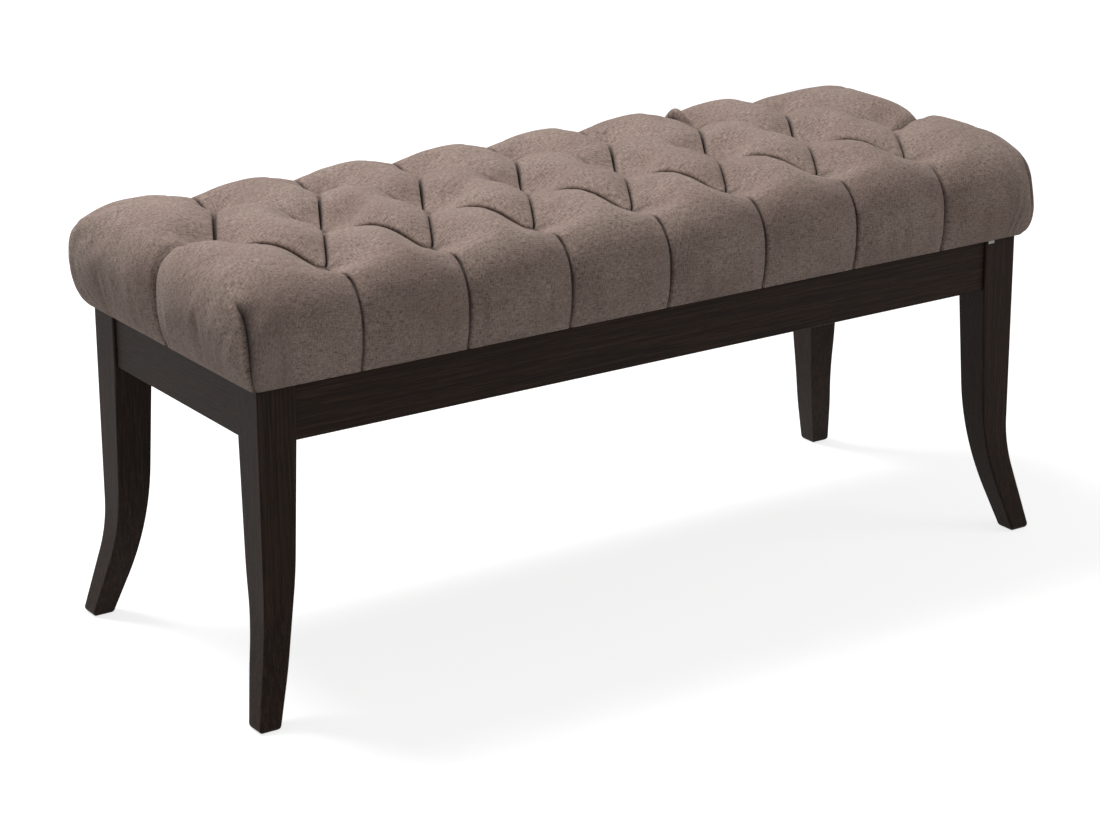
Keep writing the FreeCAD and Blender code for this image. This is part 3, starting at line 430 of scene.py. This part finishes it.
class CornerFold(Fold):
    """The fold down a corner, whose lip is the end's fabric. The side's fabric dips under it.
    It starts at a share of the way from the core to the hem, and draws nothing in."""

    REACH = 0
    GROOVE = 9 * MM
    OVERHANG = 3 * MM
    UNDER = 12 * MM
    START = 0.42
    FADE_IN = 22 * MM
    LOST_AT_HEM = 0.6

    def __init__(self, way, side):
        corner = np.array(hem_point(CORNER_ANGLE)) * (way, side)
        core = np.array((CORE_X, CORE_Y)) * (way, side)
        super().__init__(core + (corner - core) * self.START, corner, -way * side)

    def groove(self, distance_along):
        at_hem = smooth(distance_along / self.length * 2 - 1)
        return smooth(distance_along / self.FADE_IN) * (1 - self.LOST_AT_HEM * at_hem)


# One of the two diagonals behind each rear tuft barely shows.
WEAK_FOLD = 0.35

# Each outer tuft has a pucker to both sides, at about this angle from the bench's length.
PUCKER_ANGLE = 0.15
PUCKER_TURN = 0.2
PUCKER_LENGTH = (17, 27)
SEED = 5


def all_folds():
    """Every fold of the cover."""
    folds = []
    chance = np.random.default_rng(SEED)
    for number in range(COUNT):
        pleat = (number - (COUNT - 1) / 2) * PITCH
        for side in (-1, 1):
            tuft = (pleat, side * ROW)
            kind = Pleat if side < 0 else RearPleat
            folds.append(kind(tuft, (pleat, side * FLAT_Y), -side))
            for way in (-1, 1):
                strength = WEAK_FOLD if side > 0 and way > 0 else 1
                lip = way if side < 0 else -1
                kind = Diagonal if side < 0 else RearDiagonal
                folds.append(kind(tuft, (pleat + way * PITCH / 2, 0), lip, strength))
                angle = PUCKER_ANGLE * way + chance.uniform(-PUCKER_TURN, PUCKER_TURN)
                angle += math.pi if way * side > 0 else 0
                length = chance.uniform(*PUCKER_LENGTH) * MM
                folds.append(Pucker(np.array(tuft), angle, length, way))
    for way in (-1, 1):
        folds.append(EndPleat((way * LAST_TUFT, 0), (way * FLAT_X, 0), way))
        folds += [CornerFold(way, side) for side in (-1, 1)]
    return folds


FOLDS = all_folds()


def tufting(flat):
    """How deep the folds draw the cover in at each point of the flat pattern."""
    left = np.ones(len(flat))
    for fold in FOLDS:
        if fold.REACH:
            left *= 1 - fold.pull(flat) / TUFT_DEPTH
    return TUFT_DEPTH * (1 - left)


def fold_distance(flat):
    """The distance of each point of the pattern from the nearest fold."""
    return np.min([fold.measure(flat)[1] for fold in FOLDS], axis=0)


def hem_distance(flat):
    """The distance of each point of the pattern from the hem."""
    past = np.maximum(np.abs(flat) - (CORE_X, CORE_Y), 0)
    return wall_length(np.arctan2(past[:, 1], past[:, 0] + TINY * MM)) - np.hypot(*past.T)


# A small bunch of cloth in one of the rear pleats: a ridge with a shallow valley on each side.
RUMPLE_PLACE = (247 * MM, 148 * MM)
RUMPLE_HEIGHT = 12 * MM
RUMPLE_WIDTH = 6 * MM
RUMPLE_LENGTH = 15 * MM
VALLEY_PLACE = 1.7
VALLEY_DEPTH = 0.45


def rumple(flat):
    """How far the bunch of cloth stands out at each point of the pattern."""
    across = (flat[:, 0] - RUMPLE_PLACE[0]) / RUMPLE_WIDTH
    down = (flat[:, 1] - RUMPLE_PLACE[1]) / RUMPLE_LENGTH
    ridge = np.exp(-across ** 2 - down ** 2)
    valleys = np.exp(-(np.abs(across) - VALLEY_PLACE) ** 2 * 2 - down ** 2)
    return RUMPLE_HEIGHT * (ridge - VALLEY_DEPTH * valleys)


# Soft upright ripples low on the walls, where the cover is drawn down to its hem: three waves, each
# with its length and phase, which lean over a little and fade out near folds and hem.
RIPPLES = [(43 * MM, 0.4), (27 * MM, 2.1), (19 * MM, 4.4)]
RIPPLE_DEPTH = 0.35 * MM
RIPPLE_LEAN = 0.12
RIPPLE_START = 14 * MM
RIPPLE_FADE = (30 * MM, 95 * MM)
RIPPLE_TO_FOLD = (4 * MM, 14 * MM)


def ripples(flat):
    """How far the ripples stand out at each point of the pattern."""
    past = np.maximum(np.abs(flat) - (CORE_X, CORE_Y), 0)
    around = np.where(past[:, 0] > past[:, 1], flat[:, 1], flat[:, 0])
    to_hem = hem_distance(flat)
    wave = np.zeros(len(flat))
    for length, phase in RIPPLES:
        wave += np.sin(2 * math.pi * (around + RIPPLE_LEAN * to_hem) / length + phase)
    fade_start, fade_end = RIPPLE_FADE
    band = smooth(to_hem / RIPPLE_START) * smooth((fade_end - to_hem) / (fade_end - fade_start))
    nearest, run = RIPPLE_TO_FOLD
    return RIPPLE_DEPTH * wave * band * smooth((fold_distance(flat) - nearest) / run)


def lapping(flat):
    """The shift and the sink that lips and grooves give each point of the flat pattern."""
    shift, sink = np.zeros_like(flat), np.zeros(len(flat))
    for fold in FOLDS:
        fold_shift, fold_sink = fold.lap(flat)
        shift += fold_shift
        sink = np.maximum(sink, fold_sink)
    return shift, sink


# Little light comes out of a tight fold, so shade is painted into the cloth's colour there: over this
# width on the lip, this many times the groove's width on the other side, and round each tuft.
PAINTED_SHADE_ON_LIP = 1.1 * MM
PAINTED_SHADE_UNDER = 1.15
TUFT_SHADE = 0.75
TUFT_RADIUS = 9 * MM


def painted_shade_in_folds(flat):
    """How much painted shade each point gets, from 0 to 1, for lying in a fold or near a tuft."""
    dark = np.zeros(len(flat))
    for fold in FOLDS:
        distance_along, distance, beside = fold.measure(flat)
        width = np.where(beside > 0, PAINTED_SHADE_ON_LIP, PAINTED_SHADE_UNDER * fold.UNDER)
        shade = fold.groove(distance_along) * fold.strength * np.exp(-(distance / width) ** 2)
        dark = np.maximum(dark, shade)
        if isinstance(fold, Diagonal):
            for tuft in (fold.start, fold.end):
                from_tuft = np.hypot(*(flat - tuft).T)
                dark = np.maximum(dark, TUFT_SHADE * np.exp(-(from_tuft / TUFT_RADIUS) ** 2))
    return dark


# Meshes.
def normals_of(mesh):
    normals = np.empty(len(mesh.vertices) * 3)
    mesh.vertices.foreach_get("normal", normals)
    return normals.reshape(-1, 3)


def places_of(mesh):
    places = np.empty(len(mesh.vertices) * 3)
    mesh.vertices.foreach_get("co", places)
    return places.reshape(-1, 3)


def set_places(mesh, places):
    mesh.vertices.foreach_set("co", places.ravel())
    mesh.update()


def new_mesh(name, places, faces):
    """A mesh of quads. A quad with the same point twice becomes a triangle."""
    mesh = bpy.data.meshes.new(name)
    mesh.from_pydata(places.tolist(), [], [list(dict.fromkeys(face)) for face in faces.tolist()])
    mesh.update()
    return mesh


class Cover:
    """The cover's surface over a flat pattern, tufted."""

    def __init__(self, pattern):
        self.flat, self.quads = pattern.mesh()
        self.mesh = new_mesh("cover", drape(self.flat), self.quads)
        self.draped_normals = normals_of(self.mesh)
        set_places(self.mesh, self.tufted(self.flat))
        self.normals = normals_of(self.mesh)

    def tufted(self, flat):
        """The places of points near those of the pattern, in the same order."""
        return drape(flat) - self.draped_normals * tufting(flat)[:, None]


# The cover that shows, and the coarser one that the simulation works on.
FINE = Pattern(fold_steps=16, hem_rows=52, tuft_rows=28, closeness=1.8, row_closeness=0.09)
COARSE = Pattern(fold_steps=9, hem_rows=27, tuft_rows=14, closeness=1, row_closeness=0)

# The cloth simulation, which gives the puffs the wrinkles of stretched cloth. The cloth is held within
# HELD_WIDTH of folds and hem, and free from FREE_WIDTH past that. It is larger than its place by
# SPARE_CLOTH, and the padding presses on it from below.
HELD_WIDTH = 3.5 * MM
FREE_WIDTH = 14 * MM
SPARE_CLOTH = 0.03
PRESSURE = 4
FRAMES = 20
CLOTH = {
    "quality": 8,
    "use_pressure": True,
    "uniform_pressure_force": PRESSURE,
    "shrink_min": -SPARE_CLOTH,
    "pin_stiffness": 1,
    "tension_stiffness": 15,
    "compression_stiffness": 15,
    "shear_stiffness": 5,
    "bending_stiffness": 1.5,
}

# Its result is scaled down, held under MOST_MOVED, and blurred as it is carried over to the cover.
SHARE_MOVED = 0.6
MOST_MOVED = 2.4 * MM
BLUR = 3.5 * MM
NEAREST = 10


def cloth_moves(cover):
    """How far the cloth simulation moves each point of a cover that is held at its folds and hem."""
    scene = bpy.context.scene
    piece = bpy.data.objects.new("cloth", cover.mesh.copy())
    scene.collection.objects.link(piece)
    held = piece.vertex_groups.new(name="held")
    to_held = np.minimum(fold_distance(cover.flat), hem_distance(cover.flat))
    free = smooth((to_held - HELD_WIDTH) / FREE_WIDTH)
    for number, share in enumerate(free):
        held.add([number], 1 - float(share), "REPLACE")
    settings = piece.modifiers.new("cloth", "CLOTH").settings
    for setting, value in CLOTH.items():
        setattr(settings, setting, value)
    settings.vertex_group_mass = held.name
    settings.effector_weights.gravity = 0
    for number in range(1, FRAMES + 1):
        scene.frame_set(number)
    settled = piece.evaluated_get(bpy.context.evaluated_depsgraph_get()).to_mesh()
    moves = places_of(settled) - places_of(cover.mesh)
    scene.frame_set(1)
    bpy.data.objects.remove(piece)
    # The puffs already have their fullness, so only the wrinkles are kept, and not the average bulge.
    bulge = (moves * cover.normals).sum(axis=1) @ free / free.sum()
    moves = (moves - cover.normals * (bulge * free)[:, None]) * SHARE_MOVED
    length = np.linalg.norm(moves, axis=1, keepdims=True) / MOST_MOVED
    return moves * np.tanh(length) / np.maximum(length, TINY)


def carried_over(flat, moves, wanted):
    """The moves of some points of the pattern, blurred a little, at other points of it."""
    tree = KDTree(len(flat))
    for number, (x, y) in enumerate(flat):
        tree.insert((x, y, 0), number)
    tree.balance()
    result = np.empty((len(wanted), 3))
    for number, (x, y) in enumerate(wanted):
        near = tree.find_n((x, y, 0), NEAREST)
        weight = np.exp([-(found[2] / BLUR) ** 2 / 2 for found in near])
        result[number] = weight @ moves[[found[1] for found in near]] / weight.sum()
    return result


# The right end of the cushion has settled a little.
SAG = 4.5 * MM
SAG_START = 330 * MM
SAG_RUN = 120 * MM


def cushion_mesh():
    """The whole cushion: the tufted cover with its folds, ripples and wrinkles, and its hem."""
    cover = Cover(FINE)
    shift, sink = lapping(cover.flat)
    relief = rumple(cover.flat) + ripples(cover.flat) - sink
    places = cover.tufted(cover.flat + shift) + cover.normals * relief[:, None]
    coarse = Cover(COARSE)
    places += carried_over(coarse.flat, cloth_moves(coarse), cover.flat)
    at_right = smooth((places[:, 0] - SAG_START) / SAG_RUN)
    places[:, 2] -= SAG * at_right * smooth((places[:, 2] - HEM) / (CREST - HEM))
    mesh = hemmed(places, cover)
    mesh.shade_smooth()
    return mesh


# The hem, in steps: how far in from the cover's edge, and how high over its bottom.
HEM_WIDTH = 42 * MM
HEM_STEPS = [(0.3 * MM, -0.2 * MM), (1.5 * MM, 0), (6 * MM, 0), (20 * MM, 0), (HEM_WIDTH, 0),
             (HEM_WIDTH + 0.5 * MM, 0.9 * MM)]
WELD_DISTANCE = 0.01 * MM


def hemmed(places, cover):
    """The cover with its hem turned under the board, and closed there, where the board hides it.
    Its points carry their place on the flat pattern, and the painted shade of the fold or tuft they lie
    in."""
    sides = np.vstack([cover.quads[:, [turn, (turn + 1) % 4]] for turn in range(4)])
    sides = sides[sides[:, 0] != sides[:, 1]]
    same, count = np.unique(np.sort(sides, axis=1), axis=0, return_counts=True)
    is_edge = {tuple(pair) for pair in same[count == 1].tolist()}
    border = np.array([pair for pair in sides.tolist() if tuple(sorted(pair)) in is_edge])
    rim, back = np.unique(border, return_inverse=True)
    start, end = back.reshape(-1, 2).T
    half_length, half_depth = np.abs(places[rim][:, :2]).max(axis=0)
    all_places, quads = [places], [cover.quads]
    previous, first = rim, len(places)
    for inset, level in HEM_STEPS:
        ring = places[rim].copy()
        ring[:, 0] = np.clip(ring[:, 0], inset - half_length, half_length - inset)
        ring[:, 1] = np.clip(ring[:, 1], inset - half_depth, half_depth - inset)
        ring[:, 2] = HEM + level
        number = first + np.arange(len(rim))
        quads.append(np.column_stack([previous[end], previous[start], number[start], number[end]]))
        all_places.append(ring)
        previous, first = number, first + len(rim)
    mesh = new_mesh("cushion", np.vstack(all_places), np.vstack(quads))
    pattern = np.zeros((first, 3))
    pattern[:, :2] = np.vstack([cover.flat] + [cover.flat[rim]] * len(HEM_STEPS))
    mesh.attributes.new("pattern", "FLOAT_VECTOR", "POINT").data.foreach_set("vector", pattern.ravel())
    # Painted shade for the cloth's colour, in folds and round each tuft.
    dark = np.zeros(first)
    dark[:len(places)] = painted_shade_in_folds(cover.flat)
    mesh.attributes.new("painted_fold_shade", "FLOAT", "POINT").data.foreach_set("value", dark)
    work = bmesh.new()
    work.from_mesh(mesh)
    bmesh.ops.remove_doubles(work, verts=work.verts, dist=WELD_DISTANCE)
    open_edges = [edge for edge in work.edges if edge.is_boundary]
    bmesh.ops.holes_fill(work, edges=open_edges)
    bmesh.ops.recalc_face_normals(work, faces=work.faces)
    work.to_mesh(mesh)
    work.free()
    return mesh


cushion = bpy.data.objects.new("cushion", cushion_mesh())
bpy.context.scene.collection.objects.link(cushion)
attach(cushion, "root")
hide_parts("tufted_cover", "fibre_wadding")


# The camera, solved from the photograph.
CAMERA_PLACE = (-1.846577, -2.712682, 1.313746)
CAMERA_YAW = 0.59098
CAMERA_PITCH = 0.33234
CAMERA_ROLL = -0.00445
FOCAL_LENGTH = 3214.7
PHOTO_WIDTH = 1100
SENSOR_WIDTH = 36
CLIP_END = 30


def add_camera():
    data = bpy.data.cameras.new("camera")
    camera = bpy.data.objects.new("camera", data)
    bpy.context.scene.collection.objects.link(camera)
    yaw, pitch, roll = CAMERA_YAW, CAMERA_PITCH, CAMERA_ROLL
    level = math.cos(pitch)
    forward = Vector((math.sin(yaw) * level, math.cos(yaw) * level, -math.sin(pitch)))
    right = Vector((math.cos(yaw), -math.sin(yaw), 0))
    up = right.cross(forward)
    across = right * math.cos(roll) + up * math.sin(roll)
    above = up * math.cos(roll) - right * math.sin(roll)
    turn = Matrix((across, above, -forward)).transposed().to_4x4()
    camera.matrix_world = Matrix.Translation(CAMERA_PLACE) @ turn
    data.sensor_width = SENSOR_WIDTH
    data.lens = FOCAL_LENGTH / PHOTO_WIDTH * SENSOR_WIDTH
    data.clip_end = CLIP_END
    bpy.context.scene.camera = camera


add_camera()


# Materials. Each is a tree of nodes that starts from the place on the object, or from the place on the
# cover's flat pattern, so its grain and weave stay on the piece.
class Look:
    """A material with a plain surface, and short ways to add detail to it."""

    # The Mix node's sockets for a share and two colours, and for the colour that comes out.
    SHARE, FIRST, SECOND, MIXED = 0, 6, 7, 2

    def __init__(self, name, **sockets):
        self.material = bpy.data.materials.new(name)
        self.material.use_nodes = True
        self.tree = self.material.node_tree
        self.shader = self.tree.nodes["Principled BSDF"]
        for socket, value in sockets.items():
            self.shader.inputs[socket.replace("_", " ")].default_value = value

    def node(self, kind, inputs=None, **settings):
        """A new node. Its inputs are values, or sockets to link."""
        node = self.tree.nodes.new("ShaderNode" + kind)
        for setting, value in settings.items():
            setattr(node, setting, value)
        for socket, value in (inputs or {}).items():
            if isinstance(value, bpy.types.NodeSocket):
                self.tree.links.new(value, node.inputs[socket])
            else:
                node.inputs[socket].default_value = value
        return node

    def place(self):
        """The place on the object, in metres."""
        return self.node("TexCoord").outputs["Object"]

    def pattern(self):
        """The place on the cover's flat pattern, in metres."""
        return self.node("Attribute", attribute_name="pattern").outputs["Vector"]

    def noise(self, place, scale, detail=3, roughness=0.5, distortion=0):
        """Noise, with its own scale along each axis, in cycles to the metre."""
        stretched = self.node("Mapping", {"Vector": place, "Scale": scale}).outputs["Vector"]
        values = {"Vector": stretched, "Scale": 1, "Detail": detail, "Roughness": roughness,
                  "Distortion": distortion}
        return self.node("TexNoise", values).outputs["Fac"]

    def math(self, operation, *values):
        return self.node("Math", dict(enumerate(values)), operation=operation).outputs[0]

    def blend(self, share, first, second, way="MIX"):
        """A colour between two. The share is a number, or a socket that gives it at each point."""
        values = {self.SHARE: share, self.FIRST: first, self.SECOND: second}
        return self.node("Mix", values, data_type="RGBA", blend_type=way).outputs[self.MIXED]

    def steps(self, value, low, high):
        """A value stretched so that low becomes 0 and high becomes 1."""
        span = {"Value": value, "From Min": low, "From Max": high}
        return self.node("MapRange", span).outputs["Result"]

    def color(self, socket):
        """The base colour, from a socket."""
        self.tree.links.new(socket, self.shader.inputs["Base Color"])

    def rough(self, value, low, high):
        """Roughness between two values."""
        span = {"Value": value, "To Min": low, "To Max": high}
        result = self.node("MapRange", span).outputs["Result"]
        self.tree.links.new(result, self.shader.inputs["Roughness"])

    def bump(self, height, distance):
        """Relief of a real depth in metres."""
        values = {"Height": height, "Distance": distance, "Strength": 1}
        relief = self.node("Bump", values).outputs["Normal"]
        self.tree.links.new(relief, self.shader.inputs["Normal"])


def rgb(*values):
    """A colour from its usual values of 0 to 255, as the linear values that a shader takes."""
    parts = [value / 255 for value in values]
    linear = [part / 12.92 if part < 0.04 else ((part + 0.055) / 1.055) ** 2.4 for part in parts]
    return (*linear, 1)


THREAD = 0.85 * MM


def linen():
    """Heathered taupe linen: a plain weave of uneven yarns in light and dark shades."""
    look = Look("linen", Roughness=0.92, Specular_IOR_Level=0.15, Sheen_Weight=0.1,
                Sheen_Roughness=0.5)
    flat = look.pattern()
    warp = look.noise(flat, (1000, 170, 1), 3, 0.6)
    weft = look.noise(flat, (170, 1000, 1), 3, 0.6)
    slubs = look.noise(flat, (40, 420, 1), 3, 0.6)
    patches = look.noise(flat, (9, 14, 1), 3, 0.6)
    yarns = look.math("ADD", look.math("MULTIPLY", warp, 0.5), look.math("MULTIPLY", weft, 0.5))
    base = look.blend(look.steps(yarns, 0.38, 0.62), rgb(104, 88, 80), rgb(187, 166, 155))
    streaked = look.blend(look.steps(slubs, 0.48, 0.95), base, rgb(181, 160, 149))
    tinted = look.blend(look.steps(patches, 0.4, 1.1), streaked, rgb(120, 97, 90))
    # Painted shade: in folds and round tufts the cloth is darkened towards this colour.
    painted_fold_shade = look.node("Attribute", attribute_name="painted_fold_shade").outputs["Fac"]
    look.color(look.blend(look.math("MULTIPLY", painted_fold_shade, 0.85), tinted, rgb(34, 27, 25)))
    thread = 2 * math.pi / THREAD
    axes = look.node("SeparateXYZ", {"Vector": flat}).outputs
    across = look.math("SINE", look.math("MULTIPLY", axes["X"], thread))
    down = look.math("SINE", look.math("MULTIPLY", axes["Y"], thread))
    weave = look.math("MULTIPLY", across, down)
    height = look.math("ADD", look.math("MULTIPLY", weave, 0.25), look.math("MULTIPLY", yarns, 1.6))
    look.bump(look.math("ADD", height, look.math("MULTIPLY", slubs, 0.8)), 0.3 * MM)
    return look.material


def along_axis(axis, along_grain, across_grain):
    """Scales for noise that is stretched along one axis."""
    return tuple(along_grain if name == axis else across_grain for name in "xyz")


def stained_wood(axis):
    """Very dark brown stained wood, with fine open grain along an axis."""
    look = Look("stained_wood_" + axis, Specular_IOR_Level=0.07, Coat_Weight=0.01,
                Coat_Roughness=0.35)
    place = look.place()
    grain = look.noise(place, along_axis(axis, 9, 420), 4, 0.65, 0.6)
    pores = look.noise(place, along_axis(axis, 45, 1900), 2, 0.6)
    cloud = look.noise(place, along_axis(axis, 4, 26), 3)
    base = look.blend(look.steps(grain, 0.38, 0.66), rgb(28, 20, 16), rgb(64, 49, 41))
    deeper = look.blend(look.steps(pores, 0.52, 0.7), base, rgb(16, 12, 11))
    look.color(look.blend(look.steps(cloud, 0.35, 0.75), deeper, rgb(38, 28, 23), "LIGHTEN"))
    look.rough(grain, 0.4, 0.62)
    relief = look.math("SUBTRACT", look.math("MULTIPLY", grain, 0.6), look.steps(pores, 0.5, 0.75))
    look.bump(relief, 0.12 * MM)
    return look.material


def bare_wood(name, axis, light, dark, plies=0):
    """Unfinished wood with its grain along an axis, and layers where it is plywood."""
    look = Look(name, Specular_IOR_Level=0.3)
    place = look.place()
    grain = look.noise(place, along_axis(axis, 6, 240), 4, 0.6, 0.8)
    fibre = look.noise(place, along_axis(axis, 40, 1500), 2)
    shade = look.blend(look.steps(grain, 0.35, 0.68), light, dark)
    if plies:
        level = look.node("SeparateXYZ", {"Vector": place}).outputs["Z"]
        layer = look.math("SINE", look.math("MULTIPLY", level, 2 * math.pi / plies))
        shade = look.blend(look.steps(layer, 0.2, 0.6), shade, dark, "MULTIPLY")
    look.color(shade)
    look.rough(fibre, 0.6, 0.8)
    look.bump(look.math("ADD", grain, look.math("MULTIPLY", fibre, 0.5)), 0.15 * MM)
    return look.material


def zinc():
    """Zinc-plated steel."""
    look = Look("zinc", Metallic=1.0, Roughness=0.35)
    place = look.place()
    spangle = look.noise(place, (300, 300, 300), 2)
    brushed = look.noise(place, (2500, 2500, 120), 2)
    look.color(look.blend(spangle, rgb(176, 178, 180), rgb(212, 212, 208)))
    look.rough(brushed, 0.28, 0.5)
    look.bump(brushed, 0.03 * MM)
    return look.material


def soft(name, light, dark, scale, depth):
    """A matt soft material with fine unevenness: foam, twine, non-woven cloth or ribbon."""
    look = Look(name, Specular_IOR_Level=0.2, Sheen_Weight=0.1)
    place = look.place()
    fine = look.noise(place, scale, 4, 0.65)
    broad = look.noise(place, (30, 30, 30), 3)
    look.color(look.blend(look.steps(look.math("ADD", fine, broad), 0.8, 1.25), dark, light))
    look.rough(fine, 0.8, 0.95)
    look.bump(fine, depth)
    return look.material


def moulded_plastic():
    """Dark plastic with a fine moulded grain."""
    look = Look("moulded_plastic", Specular_IOR_Level=0.4)
    place = look.place()
    grain = look.noise(place, (1800, 1800, 1800), 2)
    look.color(look.blend(grain, rgb(44, 44, 46), rgb(58, 58, 60)))
    look.rough(grain, 0.42, 0.58)
    look.bump(grain, 0.04 * MM)
    return look.material


def dress(names, material):
    """Gives nodes of the frame a material in place of their own."""
    for name in names:
        slots = nodes[name].material_slots
        for slot in slots:
            slot.material = material
        if not slots:
            nodes[name].data.materials.append(material)


CORNERS = ["front_left", "front_right", "rear_right", "rear_left"]
BLOCKS = ["corner_block_" + corner for corner in CORNERS]
LEGS = [corner + "_leg" for corner in CORNERS]
STEEL = ["corner_block_screws", "leg_hanger_bolts", "leg_bolt_washers", "leg_bolt_nuts", "seat_screws",
         "hem_staples"]
PINE = rgb(205, 172, 128), rgb(168, 126, 82)
BIRCH = rgb(206, 176, 134), rgb(150, 112, 76)
FOAM = rgb(236, 226, 190), rgb(214, 200, 158)
TWINE = rgb(214, 204, 184), rgb(172, 158, 134)
DUST_CLOTH = rgb(42, 42, 44), rgb(26, 26, 28)
RIBBON = rgb(226, 226, 222), rgb(196, 196, 192)

cushion.data.materials.append(linen())
dress(LEGS, stained_wood("z"))
dress(["front_apron", "rear_apron"], stained_wood("x"))
dress(["left_apron", "right_apron"], stained_wood("y"))
dress(BLOCKS, bare_wood("pine_x", "x", *PINE))
dress(["center_rail", "frame_dowels"], bare_wood("pine_y", "y", *PINE))
dress(["seat_board"], bare_wood("plywood", "x", *BIRCH, plies=3 * MM))
dress(STEEL, zinc())
dress(["foam_pad"], soft("foam", *FOAM, (900, 900, 900), 0.4 * MM))
dress(["tuft_twines"], soft("twine", *TWINE, (3000, 3000, 900), 0.2 * MM))
dress(["dust_cover"], soft("dust_cloth", *DUST_CLOTH, (1400, 1400, 1400), 0.1 * MM))
dress(["seam_tag"], soft("ribbon", *RIBBON, (2600, 900, 2600), 0.08 * MM))
dress(["tuft_anchors"], moulded_plastic())


# The studio: a pale floor, soft light from above, and a white background.
def shows_white(tree):
    """A node output that is 1 for the rays that should see the white background."""
    path = tree.nodes.new("ShaderNodeLightPath").outputs
    total = path["Is Camera Ray"]
    for name in ("Is Glossy Ray", "Is Transmission Ray"):
        adder = tree.nodes.new("ShaderNodeMath")
        adder.operation = "MAXIMUM"
        tree.links.new(total, adder.inputs[0])
        tree.links.new(path[name], adder.inputs[1])
        total = adder.outputs[0]
    return total


FLOOR_HALF = 8
FLOOR_COLOR = 0.5
FLOOR_GLOW = 0.78
AMBIENT = 0.27


def add_floor():
    """The floor. Its glow only shows to the rays that see the background, so it lights nothing."""
    half = FLOOR_HALF
    mesh = bpy.data.meshes.new("floor")
    mesh.from_pydata([(-half, -half, 0), (half, -half, 0), (half, half, 0), (-half, half, 0)], [],
                     [(0, 1, 2, 3)])
    floor = bpy.data.objects.new("floor", mesh)
    bpy.context.scene.collection.objects.link(floor)
    look = Look("floor", Roughness=0.9, Specular_IOR_Level=0.1)
    dust = look.noise(look.place(), (3, 3, 3), 2)
    shades = [(FLOOR_COLOR * share,) * 3 + (1,) for share in (0.98, 1)]
    look.color(look.blend(dust, *shades))
    look.shader.inputs["Emission Color"].default_value = (1, 1, 1, 1)
    glow = look.math("MULTIPLY", shows_white(look.tree), FLOOR_GLOW)
    look.tree.links.new(glow, look.shader.inputs["Emission Strength"])
    mesh.materials.append(look.material)


def add_world():
    """Even white light from all around, and the white background."""
    world = bpy.data.worlds.new("studio")
    bpy.context.scene.world = world
    world.use_nodes = True
    tree = world.node_tree
    background = tree.nodes["Background"]
    background.inputs["Color"].default_value = (1, 1, 1, 1)
    strength = tree.nodes.new("ShaderNodeMapRange")
    strength.inputs["To Min"].default_value = AMBIENT
    strength.inputs["To Max"].default_value = 1
    tree.links.new(shows_white(tree), strength.inputs["Value"])
    tree.links.new(strength.outputs["Result"], background.inputs["Strength"])


def add_light(name, place, target, size, power):
    """A square lamp that faces a target."""
    data = bpy.data.lights.new(name, "AREA")
    data.size = size
    data.energy = power
    light = bpy.data.objects.new(name, data)
    bpy.context.scene.collection.objects.link(light)
    light.location = place
    light.rotation_euler = (Vector(target) - Vector(place)).to_track_quat("-Z", "Y").to_euler()


add_floor()
add_world()
add_light("key", place=(-0.8, 1.1, 3.0), target=(0, 0, 0.4), size=1.0, power=80)
add_light("fill", place=(2.3, -1.6, 1.3), target=(0.2, 0, 0.4), size=1.2, power=10)
bpy.context.scene.view_settings.view_transform = "Standard"
